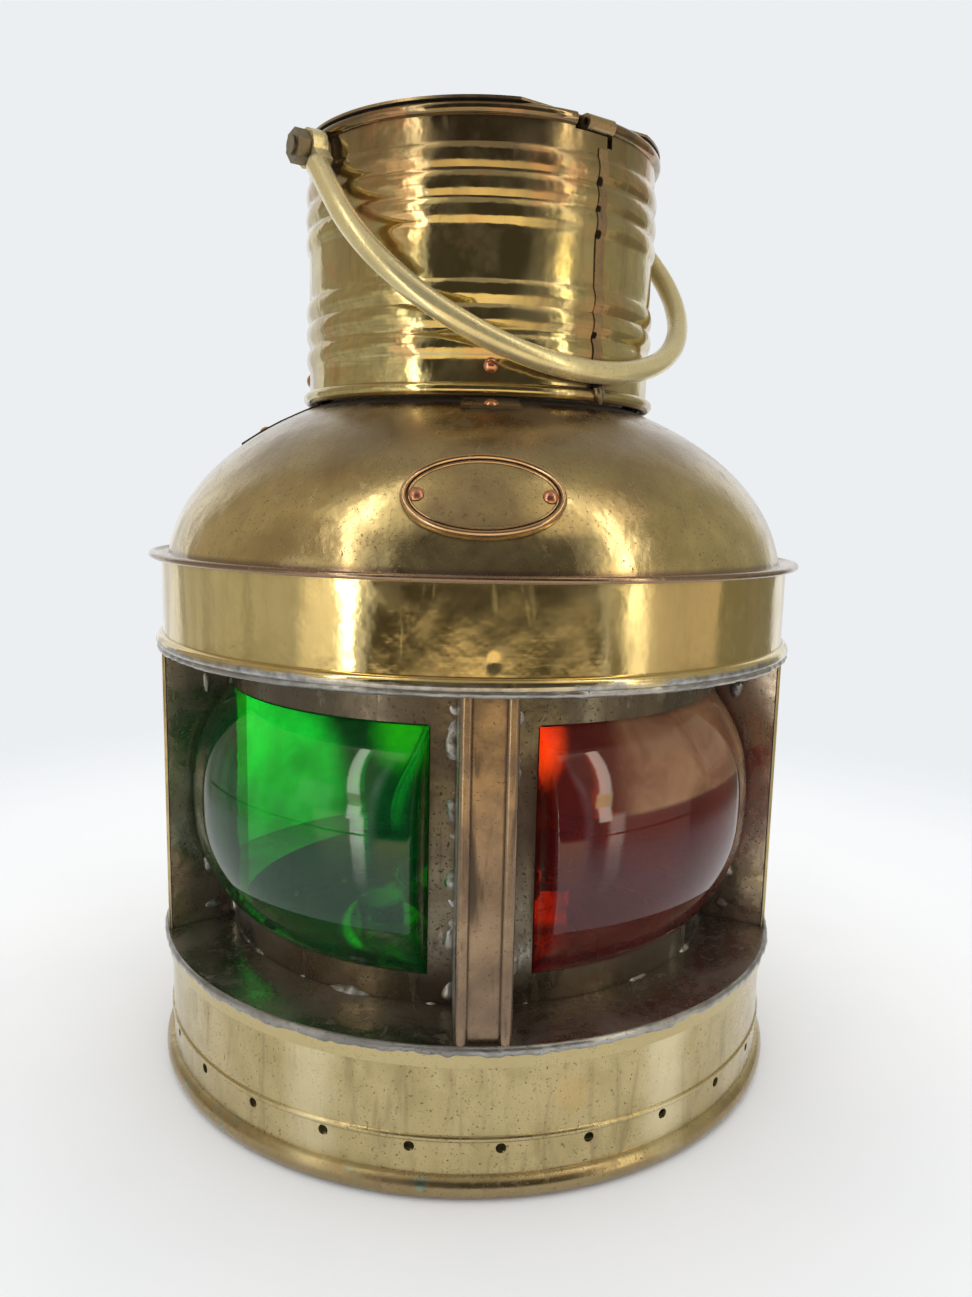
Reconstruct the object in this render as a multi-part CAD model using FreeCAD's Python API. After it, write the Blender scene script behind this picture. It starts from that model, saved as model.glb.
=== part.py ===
import FreeCAD, Part
import math
import os

# Two-colour ship lantern, in millimetres.
# Origin: centre of the foot, on the surface that the lantern stands on. +Z is up, -Y is the front.
# An azimuth is measured in degrees from the front, towards +X, seen from above.

# ---------------------------------------------------------------- driving dimensions
SHEET = 0.8                 # brass sheet of the body
FIT = 0.05                  # gap between soldered or riveted sheets
RUN = 0.05                  # radial running clearance of a pin in its bore
CLEAR = 0.3                 # gap between pieces that move past each other

# base drum
DRUM_R = 97.5
FOOT_BEAD_R = 3.4
FOOT_OUTER_R = DRUM_R + 2.5
FOOT_FLAT = 0.15            # how far the foot bead is worn flat
SWAGE_Z = 16.3
SWAGE_HALF = 1.0
SWAGE_RISE = 0.6
VENT_COUNT = 26
VENT_R = 1.4
VENT_Z = 13.7
VENT_FIRST_AZ = 3.1
FLOOR_Z = 7.0
FLOOR_FLANGE = 5.0

# sill and window section
SILL_Z = 42.2               # top of the sill shelf
WINDOW_TALL = 88.4          # from the sill shelf to the ring that closes the windows above
WINDOW_DEEP = 19.5          # how far the window frames stand back from the drum
SILL_OUTER_R = DRUM_R + 1.1
SILL_LIP = 5.0
SOLDER_OUTER_R = DRUM_R + 2.5
SOLDER_TALL = 3.2
SOFFIT_Z = SILL_Z + WINDOW_TALL
SOFFIT_OUTER_R = DRUM_R + 0.9
FRAME_R = DRUM_R - WINDOW_DEEP      # outer face of the window frames
SHELF_INNER_R = FRAME_R - 1.8       # inner edge of the sill shelf and of the ring above
GLASS_LOW_Z = SILL_Z + 8.8
GLASS_HIGH_Z = SOFFIT_Z - 12.1
GLASS_FIRST_AZ = 10.6
GLASS_LAST_AZ = 74.6
GLASS_THICK = 3.2
GLASS_LAP = 2.0             # width of glass that lies behind the frame
GLASS_START_R = FRAME_R + 1.0       # radius where the glass leaves the opening
GLASS_BULGE = 11.5
GLASS_POWER = 2.5
GLASS_SHOULDER_AZ = 3.6     # width of the rounded shoulder at each side of the glass
PILLAR_FRONT_R = DRUM_R - 0.5
PILLAR_WIDTH = 14.5
PILLAR_BEAD_R = 1.7
PLATE_OUTER_AZ = 73.4
PLATE_INNER_AZ = 77.5
WALL_R = DRUM_R + 1.0       # outer face of the back wall
WALL_FIRST_AZ = 72.6

# rear door
DOOR_HALF_AZ = 28.4
DOORWAY_HALF_AZ = 26.0
DOORWAY_LOW_Z = SILL_Z + 7.8
DOORWAY_HIGH_Z = SOFFIT_Z - 8.6
DOOR_LAP = 3.5
DOOR_SHEET = 0.7
HINGE_AZ = 149.4
HINGE_PIN_R = 1.0
KNUCKLE_R = 1.8
KNUCKLE_TALL = 12.0
KNUCKLE_INSET = 6.0

# band and dome
BAND_R = DRUM_R + 0.5
BAND_TALL = 27.0            # from the ring above the windows to the dome's flange
BAND_BEAD_R = 1.9
BAND_BEAD_OUTER_R = BAND_R + 2.0
FLANGE_Z = SOFFIT_Z + BAND_TALL
FLANGE_OUTER_R = BAND_R + 3.5
FLANGE_EDGE_R = 0.9
DOME_A = BAND_R - 2.0       # dome outline: (r/a)^n + ((z-z0)/b)^n = 1
DOME_B = 57.5
DOME_N = 1.95
DOME_Z0 = FLANGE_Z - 2.5

# oval plate
OVAL_HALF_WIDE = 20.0
OVAL_HALF_TALL = 12.0
OVAL_RIM = 1.3
OVAL_THICK = 1.0
OVAL_RIM_RISE = 0.7
OVAL_CENTRE_Z = FLANGE_Z + 20.0
OVAL_AZ = -1.4
OVAL_RIVET_X = 16.0

# chimney
CHIMNEY_R = 53.1
CHIMNEY_TALL = 70.65        # between the middles of the foot bead and the rim bead
CHIMNEY_LIFT = 3.346        # foot bead's middle above the dome
CHIMNEY_BEAD_R = 1.9
CHIMNEY_BEAD_OUTER_R = CHIMNEY_R + 1.9
CHIMNEY_LOW_SWAGES = (11.5, 19.0, 25.5)         # above the foot bead
CHIMNEY_HIGH_SWAGES = (25.05, 18.25, 11.25)     # below the rim
CHIMNEY_SWAGE_HALF = 3.15
CHIMNEY_SWAGE_RISE = 0.85
NECK_R = CHIMNEY_R - 7.3
NECK_BELOW = 9.18           # how far the inner neck hangs below the dome
NECK_ABOVE = 11.2           # how far it stands above the chimney's foot bead
RIM_BEAD_R = 1.75
RIM_OUTER_R = CHIMNEY_R + 1.5
RIM_WIRE_R = 1.0
CHIMNEY_RIVET_RISE = 6.2    # above the foot bead
STRAP_AZ = 1.0
STRAP_THICK = 0.8
STRAP_LIFT = 0.1            # gap under the strap, on the dome
SIDE_STRAP_TIP_R = CHIMNEY_R + 20.9
SIDE_STRAP_RIVET_R = CHIMNEY_R + 13.9
SIDE_STRAP_HALF_AZ = 5.0
END_STRAP_TIP_R = CHIMNEY_R + 5.3
END_STRAP_RIVET_R = CHIMNEY_R + 3.5
END_STRAP_HALF_AZ = 8.0
RIVET_HEAD_R = 2.0
RIVET_HEAD_TALL = 1.0
RIVET_SHANK_R = 1.2

# hinged lid
LID_AZ = 31.8
LID_GAP_HALF = 6.532        # half the length of rim wire left bare for the hinge
LID_R = CHIMNEY_R + 1.1
LID_SHEET = 0.7
LID_LIFT = 0.25
LID_DOME_R = CHIMNEY_R - 7.1
LID_DOME_RISE = 8.5
LID_VENTS = 12
LID_VENT_R = 3.5
LID_VENT_CIRCLE_R = CHIMNEY_R - 20.1
LID_KNUCKLE_R = 2.1
LID_KNUCKLE_BORE_R = 1.05
LID_KNUCKLE_LOW = -3.0      # ends of the knuckle along the hinge line
LID_KNUCKLE_HIGH = 6.2
LID_TAB_WIDE = 12.0
LID_TAB_REACH = 4.5
NOTCH_WIDE = 3.4
NOTCH_TALL = 2.6
NOTCH_BESIDE = 6.3          # from the hinge's middle, along the rim
NOTCH_DROP = 5.15           # bottom of the notch below the rim bead's middle

# bail
PIVOT_DROP = 4.85           # pivots below the rim bead's middle
BAIL_ROD_R = 3.15
BAIL_RIM_GAP = 0.65         # gap between the rod's straight ends and the rim
BAIL_GRIP_RISE = 5.824      # grip above the foot bead, where the bail rests
BAIL_WALL_GAP = 0.4         # gap to the chimney where the bail rests
EYE_R = 5.3
EYE_THICK = 4.4
BOLT_R = 2.5
BOLT_HEAD_R = 3.0
SPACER_R = 3.1
NUT_ACROSS = 8.0
NUT_TALL = 3.6

# oil lamp
FONT_R = 45.0
FONT_TOP_Z = 34.0
FONT_ROUND = 5.0
SEAT_TALL = 5.0
FILLER_AT = 30.0
FILLER_R = 8.0
COLLAR_R = 15.5
BURNER_R = 18.5
BURNER_BASE_Z = 38.2
GALLERY_Z = 44.0
GALLERY_R = 25.0
WICK_WIDE = 12.6
WICK_THICK = 2.6
WICK_TUBE_SHEET = 0.9
WICK_TOP_Z = 60.5
SPINDLE_Z = 41.6
SPINDLE_Y = 6.0
SPINDLE_R = 1.5
SPINDLE_WHEEL_R = 2.9
KNOB_R = 6.5
GLASS_FOOT_R = 23.8
GLASS_BELLY_R = 27.0
GLASS_TOP_R = 16.5
CHIMNEY_GLASS_TOP_Z = SOFFIT_Z - 2.6
CHIMNEY_GLASS_THICK = 1.6
SCREEN_LOW_Z = SILL_Z + 3.8
SCREEN_HIGH_Z = SOFFIT_Z - 3.6
SCREEN_REACH_R = 31.0
SCREEN_FLANGE_HALF = 9.0

ORIGIN = FreeCAD.Vector(0, 0, 0)
UP = FreeCAD.Vector(0, 0, 1)
FULL = 360.0


# ---------------------------------------------------------------- helpers
def polar(azimuth, radius, z):
    """A point at an azimuth from the front."""
    angle = math.radians(azimuth)
    return FreeCAD.Vector(radius * math.sin(angle), -radius * math.cos(angle), z)


def turned(shape, azimuth):
    """A copy of a shape that was built at the front, moved round to an azimuth."""
    copy = shape.copy()
    copy.rotate(ORIGIN, UP, azimuth)
    return copy


def outline(points):
    """A closed flat face in the radius-height plane, from (radius, height) corners."""
    corners = [FreeCAD.Vector(r, 0, z) for r, z in points]
    corners.append(corners[0])
    return Part.Face(Part.makePolygon(corners))


def spun(face, first=-180.0, last=180.0):
    """A radius-height face revolved about the axis, from one azimuth to another."""
    sweep = last - first
    start = face.copy()
    start.rotate(ORIGIN, UP, first - 90.0)
    return start.revolve(ORIGIN, UP, FULL if sweep >= FULL else sweep)


def ring(inner, outer, low, high, first=-180.0, last=180.0):
    """A plain ring or part of one."""
    return spun(outline([(inner, low), (outer, low), (outer, high), (inner, high)]), first, last)


def torus(circle_r, tube_r, z):
    return Part.makeTorus(circle_r, tube_r, FreeCAD.Vector(0, 0, z), UP)


def slab(x, y, z):
    """A box from three (low, high) pairs."""
    size = (x[1] - x[0], y[1] - y[0], z[1] - z[0])
    return Part.makeBox(*size, FreeCAD.Vector(x[0], y[0], z[0]))


def rod(radius, start, end):
    along = end.sub(start)
    return Part.makeCylinder(radius, along.Length, start, along)


def swaged_wall(radius, sheet, low, high, swages, half, rise):
    """A sheet tube with half-round swages, as one revolved outline."""
    def side(r):
        edges = []
        z = low
        for centre in swages:
            below = FreeCAD.Vector(r, 0, centre - half)
            edges.append(Part.LineSegment(FreeCAD.Vector(r, 0, z), below).toShape())
            top = FreeCAD.Vector(r + rise, 0, centre)
            above = FreeCAD.Vector(r, 0, centre + half)
            edges.append(Part.Arc(below, top, above).toShape())
            z = centre + half
        edges.append(Part.LineSegment(FreeCAD.Vector(r, 0, z), FreeCAD.Vector(r, 0, high)).toShape())
        return edges
    ends = []
    for z in (low, high):
        inner = FreeCAD.Vector(radius - sheet, 0, z)
        outer = FreeCAD.Vector(radius, 0, z)
        ends.append(Part.LineSegment(inner, outer).toShape())
    edges = side(radius) + side(radius - sheet) + ends
    wire = Part.Wire(Part.__sortEdges__(edges))
    return spun(Part.Face(wire))


def curled(wall, circle_r, tube_r, z, sheet):
    """A wall with a rolled edge: a hollow bead whose inside stays open for its wire."""
    return wall.fuse(torus(circle_r, tube_r, z)).cut(torus(circle_r, tube_r - sheet, z))


def dome_z(radius, offset=0.0):
    """Height of the dome's outside at a radius, or of a surface offset from it."""
    share = (radius / (DOME_A + offset)) ** DOME_N
    return DOME_Z0 + (DOME_B + offset) * (1.0 - share) ** (1.0 / DOME_N)


def dome_radius(z, offset=0.0):
    share = ((z - DOME_Z0) / (DOME_B + offset)) ** DOME_N
    return (DOME_A + offset) * (1.0 - share) ** (1.0 / DOME_N)


def dome_edge(offset, low_z, inner_r, count=12):
    """The dome's outline as a smooth curve from its skirt to its crown opening."""
    outer_r = dome_radius(low_z, offset)
    first = math.acos(min(1.0, inner_r / outer_r))
    points = []
    for i in range(count + 1):
        r = outer_r * math.cos(first * i / count)
        z = low_z if i == 0 else dome_z(r, offset)
        points.append(FreeCAD.Vector(r, 0, z))
    curve = Part.BSplineCurve()
    curve.interpolate(points)
    return curve.toShape(), points[0], points[-1]


def dome_shell(inner_offset, outer_offset, low_z, inner_r):
    """A shell between two offsets of the dome."""
    outer, outer_low, outer_high = dome_edge(outer_offset, low_z, inner_r)
    inner, inner_low, inner_high = dome_edge(inner_offset, low_z, inner_r)
    low = Part.LineSegment(inner_low, outer_low).toShape()
    high = Part.LineSegment(inner_high, outer_high).toShape()
    return spun(Part.Face(Part.Wire(Part.__sortEdges__([outer, high, inner, low]))))


def dome_normal_tilt(radius):
    """Angle from +Z of the dome's outward normal at a radius, in degrees."""
    out = (radius / DOME_A) ** (DOME_N - 1.0) / DOME_A
    up = ((dome_z(radius) - DOME_Z0) / DOME_B) ** (DOME_N - 1.0) / DOME_B
    return math.degrees(math.atan2(out, up))


def placed(shape, tilt, azimuth, radius, z):
    """Tips a +Z shape forward by tilt, then carries it to a point round the axis."""
    copy = shape.copy()
    copy.rotate(ORIGIN, FreeCAD.Vector(1, 0, 0), tilt)
    copy.translate(FreeCAD.Vector(0, -radius, z))
    return turned(copy, azimuth)


def rivet(grip):
    """A rivet with both heads along Z: the outer head sits on z=0, the grip runs down from it."""
    head = Part.makeSphere((RIVET_HEAD_R ** 2 + RIVET_HEAD_TALL ** 2) / (2.0 * RIVET_HEAD_TALL))
    depth = head.BoundBox.ZMax - RIVET_HEAD_TALL
    head.translate(FreeCAD.Vector(0, 0, -depth))
    keep = Part.makeCylinder(RIVET_HEAD_R + 1.0, RIVET_HEAD_TALL + 1.0)
    outer = head.common(keep)
    shank = Part.makeCylinder(RIVET_SHANK_R, grip, FreeCAD.Vector(0, 0, -grip))
    tail = Part.makeCylinder(RIVET_HEAD_R - 0.2, 0.6, FreeCAD.Vector(0, 0, -grip - 0.6))
    return outer.fuse(shank).fuse(tail).removeSplitter()


def rivet_hole(grip):
    reach = grip + 2.0
    return Part.makeCylinder(RIVET_SHANK_R + FIT, 2.0 * reach, FreeCAD.Vector(0, 0, -reach))


def cut_all(shape, tools):
    for tool in tools:
        shape = shape.cut(tool)
    return shape


def fused(shapes):
    result = shapes[0]
    for other in shapes[1:]:
        result = result.fuse(other)
    return result.removeSplitter()


# ---------------------------------------------------------------- values that follow from the sizes
FOOT_Z = FOOT_BEAD_R - FOOT_FLAT
FOOT_CIRCLE_R = FOOT_OUTER_R - FOOT_BEAD_R
DRUM_INNER_R = DRUM_R - SHEET
SILL_LOW_Z = SILL_Z - SHEET
WINDOW_LOW_Z = SILL_Z + FIT
WINDOW_HIGH_Z = SOFFIT_Z - FIT
FRAME_INNER_R = FRAME_R - SHEET
FRAME_FIRST_AZ = math.degrees(math.asin((PILLAR_WIDTH / 2.0 + FIT) / FRAME_INNER_R))
FRAME_LAST_AZ = PLATE_INNER_AZ - math.degrees((SHEET / 2.0 + 0.145) / FRAME_R)
GLASS_LAP_AZ = math.degrees(GLASS_LAP / FRAME_R)
GLASS_OUTER_R = FRAME_INNER_R - CLEAR
BAND_LOW_Z = SOFFIT_Z + SHEET + FIT
BAND_BEAD_Z = BAND_LOW_Z + BAND_BEAD_R
CHIMNEY_INNER_R = CHIMNEY_R - SHEET
CHIMNEY_BEAD_CIRCLE_R = CHIMNEY_BEAD_OUTER_R - CHIMNEY_BEAD_R
CHIMNEY_BEAD_Z = dome_z(CHIMNEY_BEAD_CIRCLE_R) + CHIMNEY_LIFT
CHIMNEY_RIVET_Z = CHIMNEY_BEAD_Z + CHIMNEY_RIVET_RISE
NECK_LOW_Z = dome_z(NECK_R) - NECK_BELOW
NECK_HIGH_Z = CHIMNEY_BEAD_Z + NECK_ABOVE
RIM_Z = CHIMNEY_BEAD_Z + CHIMNEY_TALL
RIM_CIRCLE_R = RIM_OUTER_R - RIM_BEAD_R
NOTCH_Z = RIM_Z - NOTCH_DROP
NOTCH_AZ = LID_AZ + math.degrees(NOTCH_BESIDE / CHIMNEY_R)
LID_GAP_HALF_AZ = math.degrees(math.asin(LID_GAP_HALF / RIM_CIRCLE_R))
LID_HINGE_R = RIM_CIRCLE_R * math.cos(math.radians(LID_GAP_HALF_AZ))
LID_Z = RIM_Z + RIM_BEAD_R + LID_LIFT
PIVOT_Z = RIM_Z - PIVOT_DROP
BAIL_REST_R = CHIMNEY_R + BAIL_ROD_R + BAIL_WALL_GAP
BAIL_REST_DOWN = PIVOT_Z - CHIMNEY_BEAD_Z - BAIL_GRIP_RISE
BAIL_LENGTH = math.hypot(BAIL_REST_R, BAIL_REST_DOWN)       # pivot axis to the grip's centre line
BAIL_DROP = math.degrees(math.atan2(BAIL_REST_DOWN, BAIL_REST_R))
BAIL_HALF = RIM_OUTER_R + BAIL_RIM_GAP + BAIL_ROD_R         # middle to the rod's straight ends
EYE_INNER = RIM_OUTER_R + 0.5
EYE_OUTER = EYE_INNER + EYE_THICK
DOOR_INNER_R = WALL_R + CLEAR
PIN_CIRCLE_R = DOOR_INNER_R + KNUCKLE_R
DOOR_LOW_Z = DOORWAY_LOW_Z - DOOR_LAP
DOOR_HIGH_Z = DOORWAY_HIGH_Z + DOOR_LAP
FLOOR_TOP_Z = FLOOR_Z + SHEET
TUBE_X = WICK_WIDE / 2.0 + CLEAR
TUBE_Y = WICK_THICK / 2.0 + CLEAR
PLATE_TILT = dome_normal_tilt(dome_radius(OVAL_CENTRE_Z))


# ---------------------------------------------------------------- base
def base_drum():
    wall = swaged_wall(DRUM_R, SHEET, FOOT_Z, SILL_LOW_Z - FIT, [SWAGE_Z], SWAGE_HALF, SWAGE_RISE)
    drum = curled(wall, FOOT_CIRCLE_R, FOOT_BEAD_R, FOOT_Z, SHEET)
    below = FreeCAD.Vector(0, 0, -FOOT_BEAD_R)
    drum = drum.cut(Part.makeCylinder(FOOT_OUTER_R + 1.0, FOOT_BEAD_R, below))
    step = FULL / VENT_COUNT
    vent = rod(VENT_R, polar(0, DRUM_R - 3.0, VENT_Z), polar(0, DRUM_R + 3.0, VENT_Z))
    return cut_all(drum, [turned(vent, VENT_FIRST_AZ + step * i) for i in range(VENT_COUNT)])


def foot_wire():
    return torus(FOOT_CIRCLE_R, FOOT_BEAD_R - SHEET - FIT, FOOT_Z)


def bottom_plate():
    edge = DRUM_INNER_R - FIT
    plate = ring(0, edge, FLOOR_Z, FLOOR_TOP_Z)
    return fused([plate, ring(edge - SHEET, edge, FLOOR_Z, FLOOR_Z + FLOOR_FLANGE)])


def font_seat_ring():
    return ring(FONT_R + 0.4, FONT_R + 0.4 + SHEET, FLOOR_TOP_Z + FIT, FLOOR_TOP_Z + SEAT_TALL)


def sill_ring():
    shelf = ring(SHELF_INNER_R, SILL_OUTER_R, SILL_LOW_Z, SILL_Z)
    lip_low = SILL_LOW_Z - SILL_LIP
    return fused([shelf, ring(DRUM_R + FIT, SILL_OUTER_R, lip_low, SILL_Z)])


def sill_solder():
    inner = SILL_OUTER_R + FIT
    high = SILL_Z
    low = high - SOLDER_TALL
    rise = SOLDER_OUTER_R - inner
    points = [(inner, low), (inner + 0.6 * rise, low), (SOLDER_OUTER_R, low + 0.5 * rise)]
    points += [(SOLDER_OUTER_R, high - 0.5 * rise), (inner + 0.5 * rise, high), (inner, high)]
    return spun(outline(points))


# ---------------------------------------------------------------- window section
def centre_pillar():
    half = PILLAR_WIDTH / 2.0
    tall = (WINDOW_LOW_Z, WINDOW_HIGH_Z)
    front = (-PILLAR_FRONT_R, -PILLAR_FRONT_R + SHEET)
    pieces = [slab((-half, half), front, tall)]
    back = -math.sqrt(FRAME_R ** 2 - half ** 2) - CLEAR
    for sign in (-1, 1):
        side = sorted((sign * half, sign * (half - SHEET)))
        pieces.append(slab(side, (-PILLAR_FRONT_R, back), tall))
        foot = FreeCAD.Vector(sign * (half - PILLAR_BEAD_R), -PILLAR_FRONT_R, tall[0])
        pieces.append(Part.makeCylinder(PILLAR_BEAD_R, tall[1] - tall[0], foot))
    return fused(pieces)


def window_frame(side):
    low, high = WINDOW_LOW_Z, WINDOW_HIGH_Z
    spans = sorted((side * FRAME_FIRST_AZ, side * FRAME_LAST_AZ))
    sheet = ring(FRAME_INNER_R, FRAME_R, low, high, *spans)
    hole = sorted((side * GLASS_FIRST_AZ, side * GLASS_LAST_AZ))
    return sheet.cut(ring(FRAME_R - 5.0, FRAME_R + 5.0, GLASS_LOW_Z, GLASS_HIGH_Z, *hole))


def glass_edge(shift, low, high, count=10):
    """The bulged outline of a window glass, moved inwards by shift."""
    middle = (low + high) / 2.0
    half = (high - low) / 2.0
    points = []
    for i in range(count + 1):
        u = math.sin(math.pi * (i / count - 0.5))
        r = GLASS_START_R + GLASS_BULGE * (1.0 - abs(u) ** GLASS_POWER) - shift
        points.append(FreeCAD.Vector(r, 0, middle + half * u))
    curve = Part.BSplineCurve()
    curve.interpolate(points)
    return curve.toShape(), points[0], points[-1]


def glass_plan(side, inside):
    """Upright prism over the glass, whose sides lean in where the glass bulges out."""
    first, last = inside
    shoulder = GLASS_SHOULDER_AZ
    reach = GLASS_START_R + GLASS_BULGE
    corners = [(first - 3.0, 60.0), (first - 3.0, GLASS_START_R - 1.5), (first, GLASS_START_R - 1.5)]
    corners += [(first, GLASS_START_R), (first + 0.5 * shoulder, GLASS_START_R + 0.65 * GLASS_BULGE)]
    corners += [(first + shoulder, reach), (first + shoulder, reach + 30.0)]
    corners += [(last - shoulder, reach + 30.0), (last - shoulder, reach)]
    corners += [(last - 0.5 * shoulder, GLASS_START_R + 0.65 * GLASS_BULGE), (last, GLASS_START_R)]
    corners += [(last, GLASS_START_R - 1.5), (last + 3.0, GLASS_START_R - 1.5), (last + 3.0, 60.0)]
    points = [polar(side * azimuth, radius, GLASS_LOW_Z - 10.0) for azimuth, radius in corners]
    points.append(points[0])
    tall = FreeCAD.Vector(0, 0, GLASS_HIGH_Z - GLASS_LOW_Z + 20.0)
    return Part.Face(Part.makePolygon(points)).extrude(tall)


def lens(side):
    low = GLASS_LOW_Z + CLEAR
    high = GLASS_HIGH_Z - CLEAR
    outer_edge, outer_low, outer_high = glass_edge(0.0, low, high)
    inner_edge, inner_low, inner_high = glass_edge(GLASS_THICK + 1.0, low + 2.0, high - 2.0)
    back_r = GLASS_OUTER_R - GLASS_THICK
    lap_low = GLASS_LOW_Z - GLASS_LAP
    lap_high = GLASS_HIGH_Z + GLASS_LAP
    corners = [outer_high, FreeCAD.Vector(GLASS_OUTER_R, 0, high)]
    corners.append(FreeCAD.Vector(GLASS_OUTER_R, 0, lap_high))
    corners.append(FreeCAD.Vector(back_r, 0, lap_high))
    corners.append(FreeCAD.Vector(back_r, 0, high - 2.0))
    corners.append(inner_high)
    upper = Part.makePolygon(corners).Edges
    corners = [inner_low, FreeCAD.Vector(back_r, 0, low + 2.0)]
    corners.append(FreeCAD.Vector(back_r, 0, lap_low))
    corners.append(FreeCAD.Vector(GLASS_OUTER_R, 0, lap_low))
    corners.append(FreeCAD.Vector(GLASS_OUTER_R, 0, low))
    corners.append(outer_low)
    lower = Part.makePolygon(corners).Edges
    wire = Part.Wire(Part.__sortEdges__([outer_edge, inner_edge] + upper + lower))
    first = GLASS_FIRST_AZ - GLASS_LAP_AZ
    last = GLASS_LAST_AZ + GLASS_LAP_AZ
    glass = spun(Part.Face(wire), *sorted((side * first, side * last)))
    proud = ring(FRAME_INNER_R - 0.2, FRAME_R + 20.0, lap_low - 1.0, lap_high + 1.0)
    inside = (GLASS_FIRST_AZ + 0.3, GLASS_LAST_AZ - 0.3)
    window = ring(FRAME_R - 9.0, FRAME_R + 21.0, lap_low - 2.0, lap_high + 2.0,
                  *sorted((side * inside[0], side * inside[1])))
    return glass.cut(proud.cut(window)).common(glass_plan(side, inside))


def lens_clips(side):
    """Bent tabs behind the frame that hold the glass at its top and bottom edges."""
    outer = FRAME_INNER_R - FIT
    inner = GLASS_OUTER_R - GLASS_THICK - CLEAR
    tab = 0.7
    clips = []
    for edge, way in ((GLASS_HIGH_Z + GLASS_LAP, 1), (GLASS_LOW_Z - GLASS_LAP, -1)):
        seat = edge + way * CLEAR
        points = [(outer, seat), (outer, seat + way * 5.0), (outer - tab, seat + way * 5.0)]
        points += [(outer - tab, seat + way * tab), (inner - tab, seat + way * tab)]
        points += [(inner - tab, seat - way * 3.5), (inner, seat - way * 3.5), (inner, seat)]
        for azimuth in (25.0, 57.0):
            spans = sorted((side * (azimuth - 2.5), side * (azimuth + 2.5)))
            clips.append(spun(outline(points), *spans))
    return Part.makeCompound(clips)


def side_plate(side):
    """Flat sheet that closes the window section between the frame and the back wall."""
    outer = polar(side * PLATE_OUTER_AZ, WALL_R - SHEET - 0.2, WINDOW_LOW_Z)
    inner = polar(side * PLATE_INNER_AZ, FRAME_R, WINDOW_LOW_Z)
    along = inner.sub(outer)
    along.normalize()
    across = FreeCAD.Vector(-along.y, along.x, 0).multiply(SHEET / 2.0)
    corners = [outer.add(across), inner.add(across), inner.sub(across), outer.sub(across)]
    corners.append(corners[0])
    tall = FreeCAD.Vector(0, 0, WINDOW_HIGH_Z - WINDOW_LOW_Z)
    return Part.Face(Part.makePolygon(corners)).extrude(tall)


def back_wall():
    wall = ring(WALL_R - SHEET, WALL_R, WINDOW_LOW_Z, WINDOW_HIGH_Z, WALL_FIRST_AZ, FULL - WALL_FIRST_AZ)
    spans = (180.0 - DOORWAY_HALF_AZ, 180.0 + DOORWAY_HALF_AZ)
    return wall.cut(ring(WALL_R - 5.0, WALL_R + 5.0, DOORWAY_LOW_Z, DOORWAY_HIGH_Z, *spans))


def centre_screen():
    """Upright plate behind the pillar that keeps each colour on its own side."""
    half = SCREEN_FLANGE_HALF
    tall = (SCREEN_LOW_Z, SCREEN_HIGH_Z)
    flange_y = -math.sqrt(FRAME_INNER_R ** 2 - half ** 2) + 0.1
    flange = slab((-half, half), (flange_y, flange_y + SHEET), tall)
    web = slab((-SHEET / 2, SHEET / 2), (flange_y, -SCREEN_REACH_R), tall)
    return fused([flange, web])


# ---------------------------------------------------------------- rear door
def hinge_knuckle(low, high):
    foot = polar(HINGE_AZ, PIN_CIRCLE_R, low)
    knuckle = Part.makeCylinder(KNUCKLE_R, high - low, foot)
    return knuckle, Part.makeCylinder(HINGE_PIN_R + RUN, high - low, foot)


def door_knuckle_spans():
    low = DOOR_LOW_Z + KNUCKLE_INSET
    high = DOOR_HIGH_Z - KNUCKLE_INSET
    return (low, low + KNUCKLE_TALL), (high - KNUCKLE_TALL, high)


def door():
    spans = (180.0 - DOOR_HALF_AZ, 180.0 + DOOR_HALF_AZ)
    panel = ring(DOOR_INNER_R, DOOR_INNER_R + DOOR_SHEET, DOOR_LOW_Z, DOOR_HIGH_Z, *spans)
    pieces = [panel]
    bores = []
    for low, high in door_knuckle_spans():
        leaf = ring(DOOR_INNER_R, DOOR_INNER_R + DOOR_SHEET, low, high, HINGE_AZ, spans[0] + 0.2)
        knuckle, bore = hinge_knuckle(low, high)
        pieces += [leaf, knuckle]
        bores.append(bore)
    return cut_all(fused(pieces), bores)


def door_hinge_leaf():
    lower, upper = door_knuckle_spans()
    low = lower[1] + CLEAR
    high = upper[0] - CLEAR
    knuckle, bore = hinge_knuckle(low, high)
    leaf = ring(WALL_R + FIT, WALL_R + FIT + DOOR_SHEET, low + 2.0, high - 2.0, HINGE_AZ - 5.5, HINGE_AZ)
    return fused([leaf, knuckle]).cut(bore)


def door_hinge_pin():
    lower, upper = door_knuckle_spans()
    low = lower[0] - CLEAR
    high = upper[1] + CLEAR
    foot = polar(HINGE_AZ, PIN_CIRCLE_R, low - 1.0)
    pin = Part.makeCylinder(HINGE_PIN_R, high - low + 2.0, foot)
    cap = Part.makeCylinder(KNUCKLE_R, 1.0, foot)
    top = Part.makeCylinder(KNUCKLE_R, 1.0, polar(HINGE_AZ, PIN_CIRCLE_R, high))
    return fused([pin, cap, top])


def door_knob():
    outline_points = [(0, 0), (4.0, 0), (4.0, 0.8), (1.7, 1.4), (1.7, 3.0), (3.2, 4.2), (3.8, 5.6)]
    outline_points += [(3.4, 7.2), (2.2, 8.0), (0, 8.3)]
    knob = spun(outline(outline_points))
    middle = (DOOR_LOW_Z + DOOR_HIGH_Z) / 2.0
    return placed(knob, 90.0, 180.0 + DOOR_HALF_AZ - 5.0, DOOR_INNER_R + DOOR_SHEET + 0.15, middle)


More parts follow.
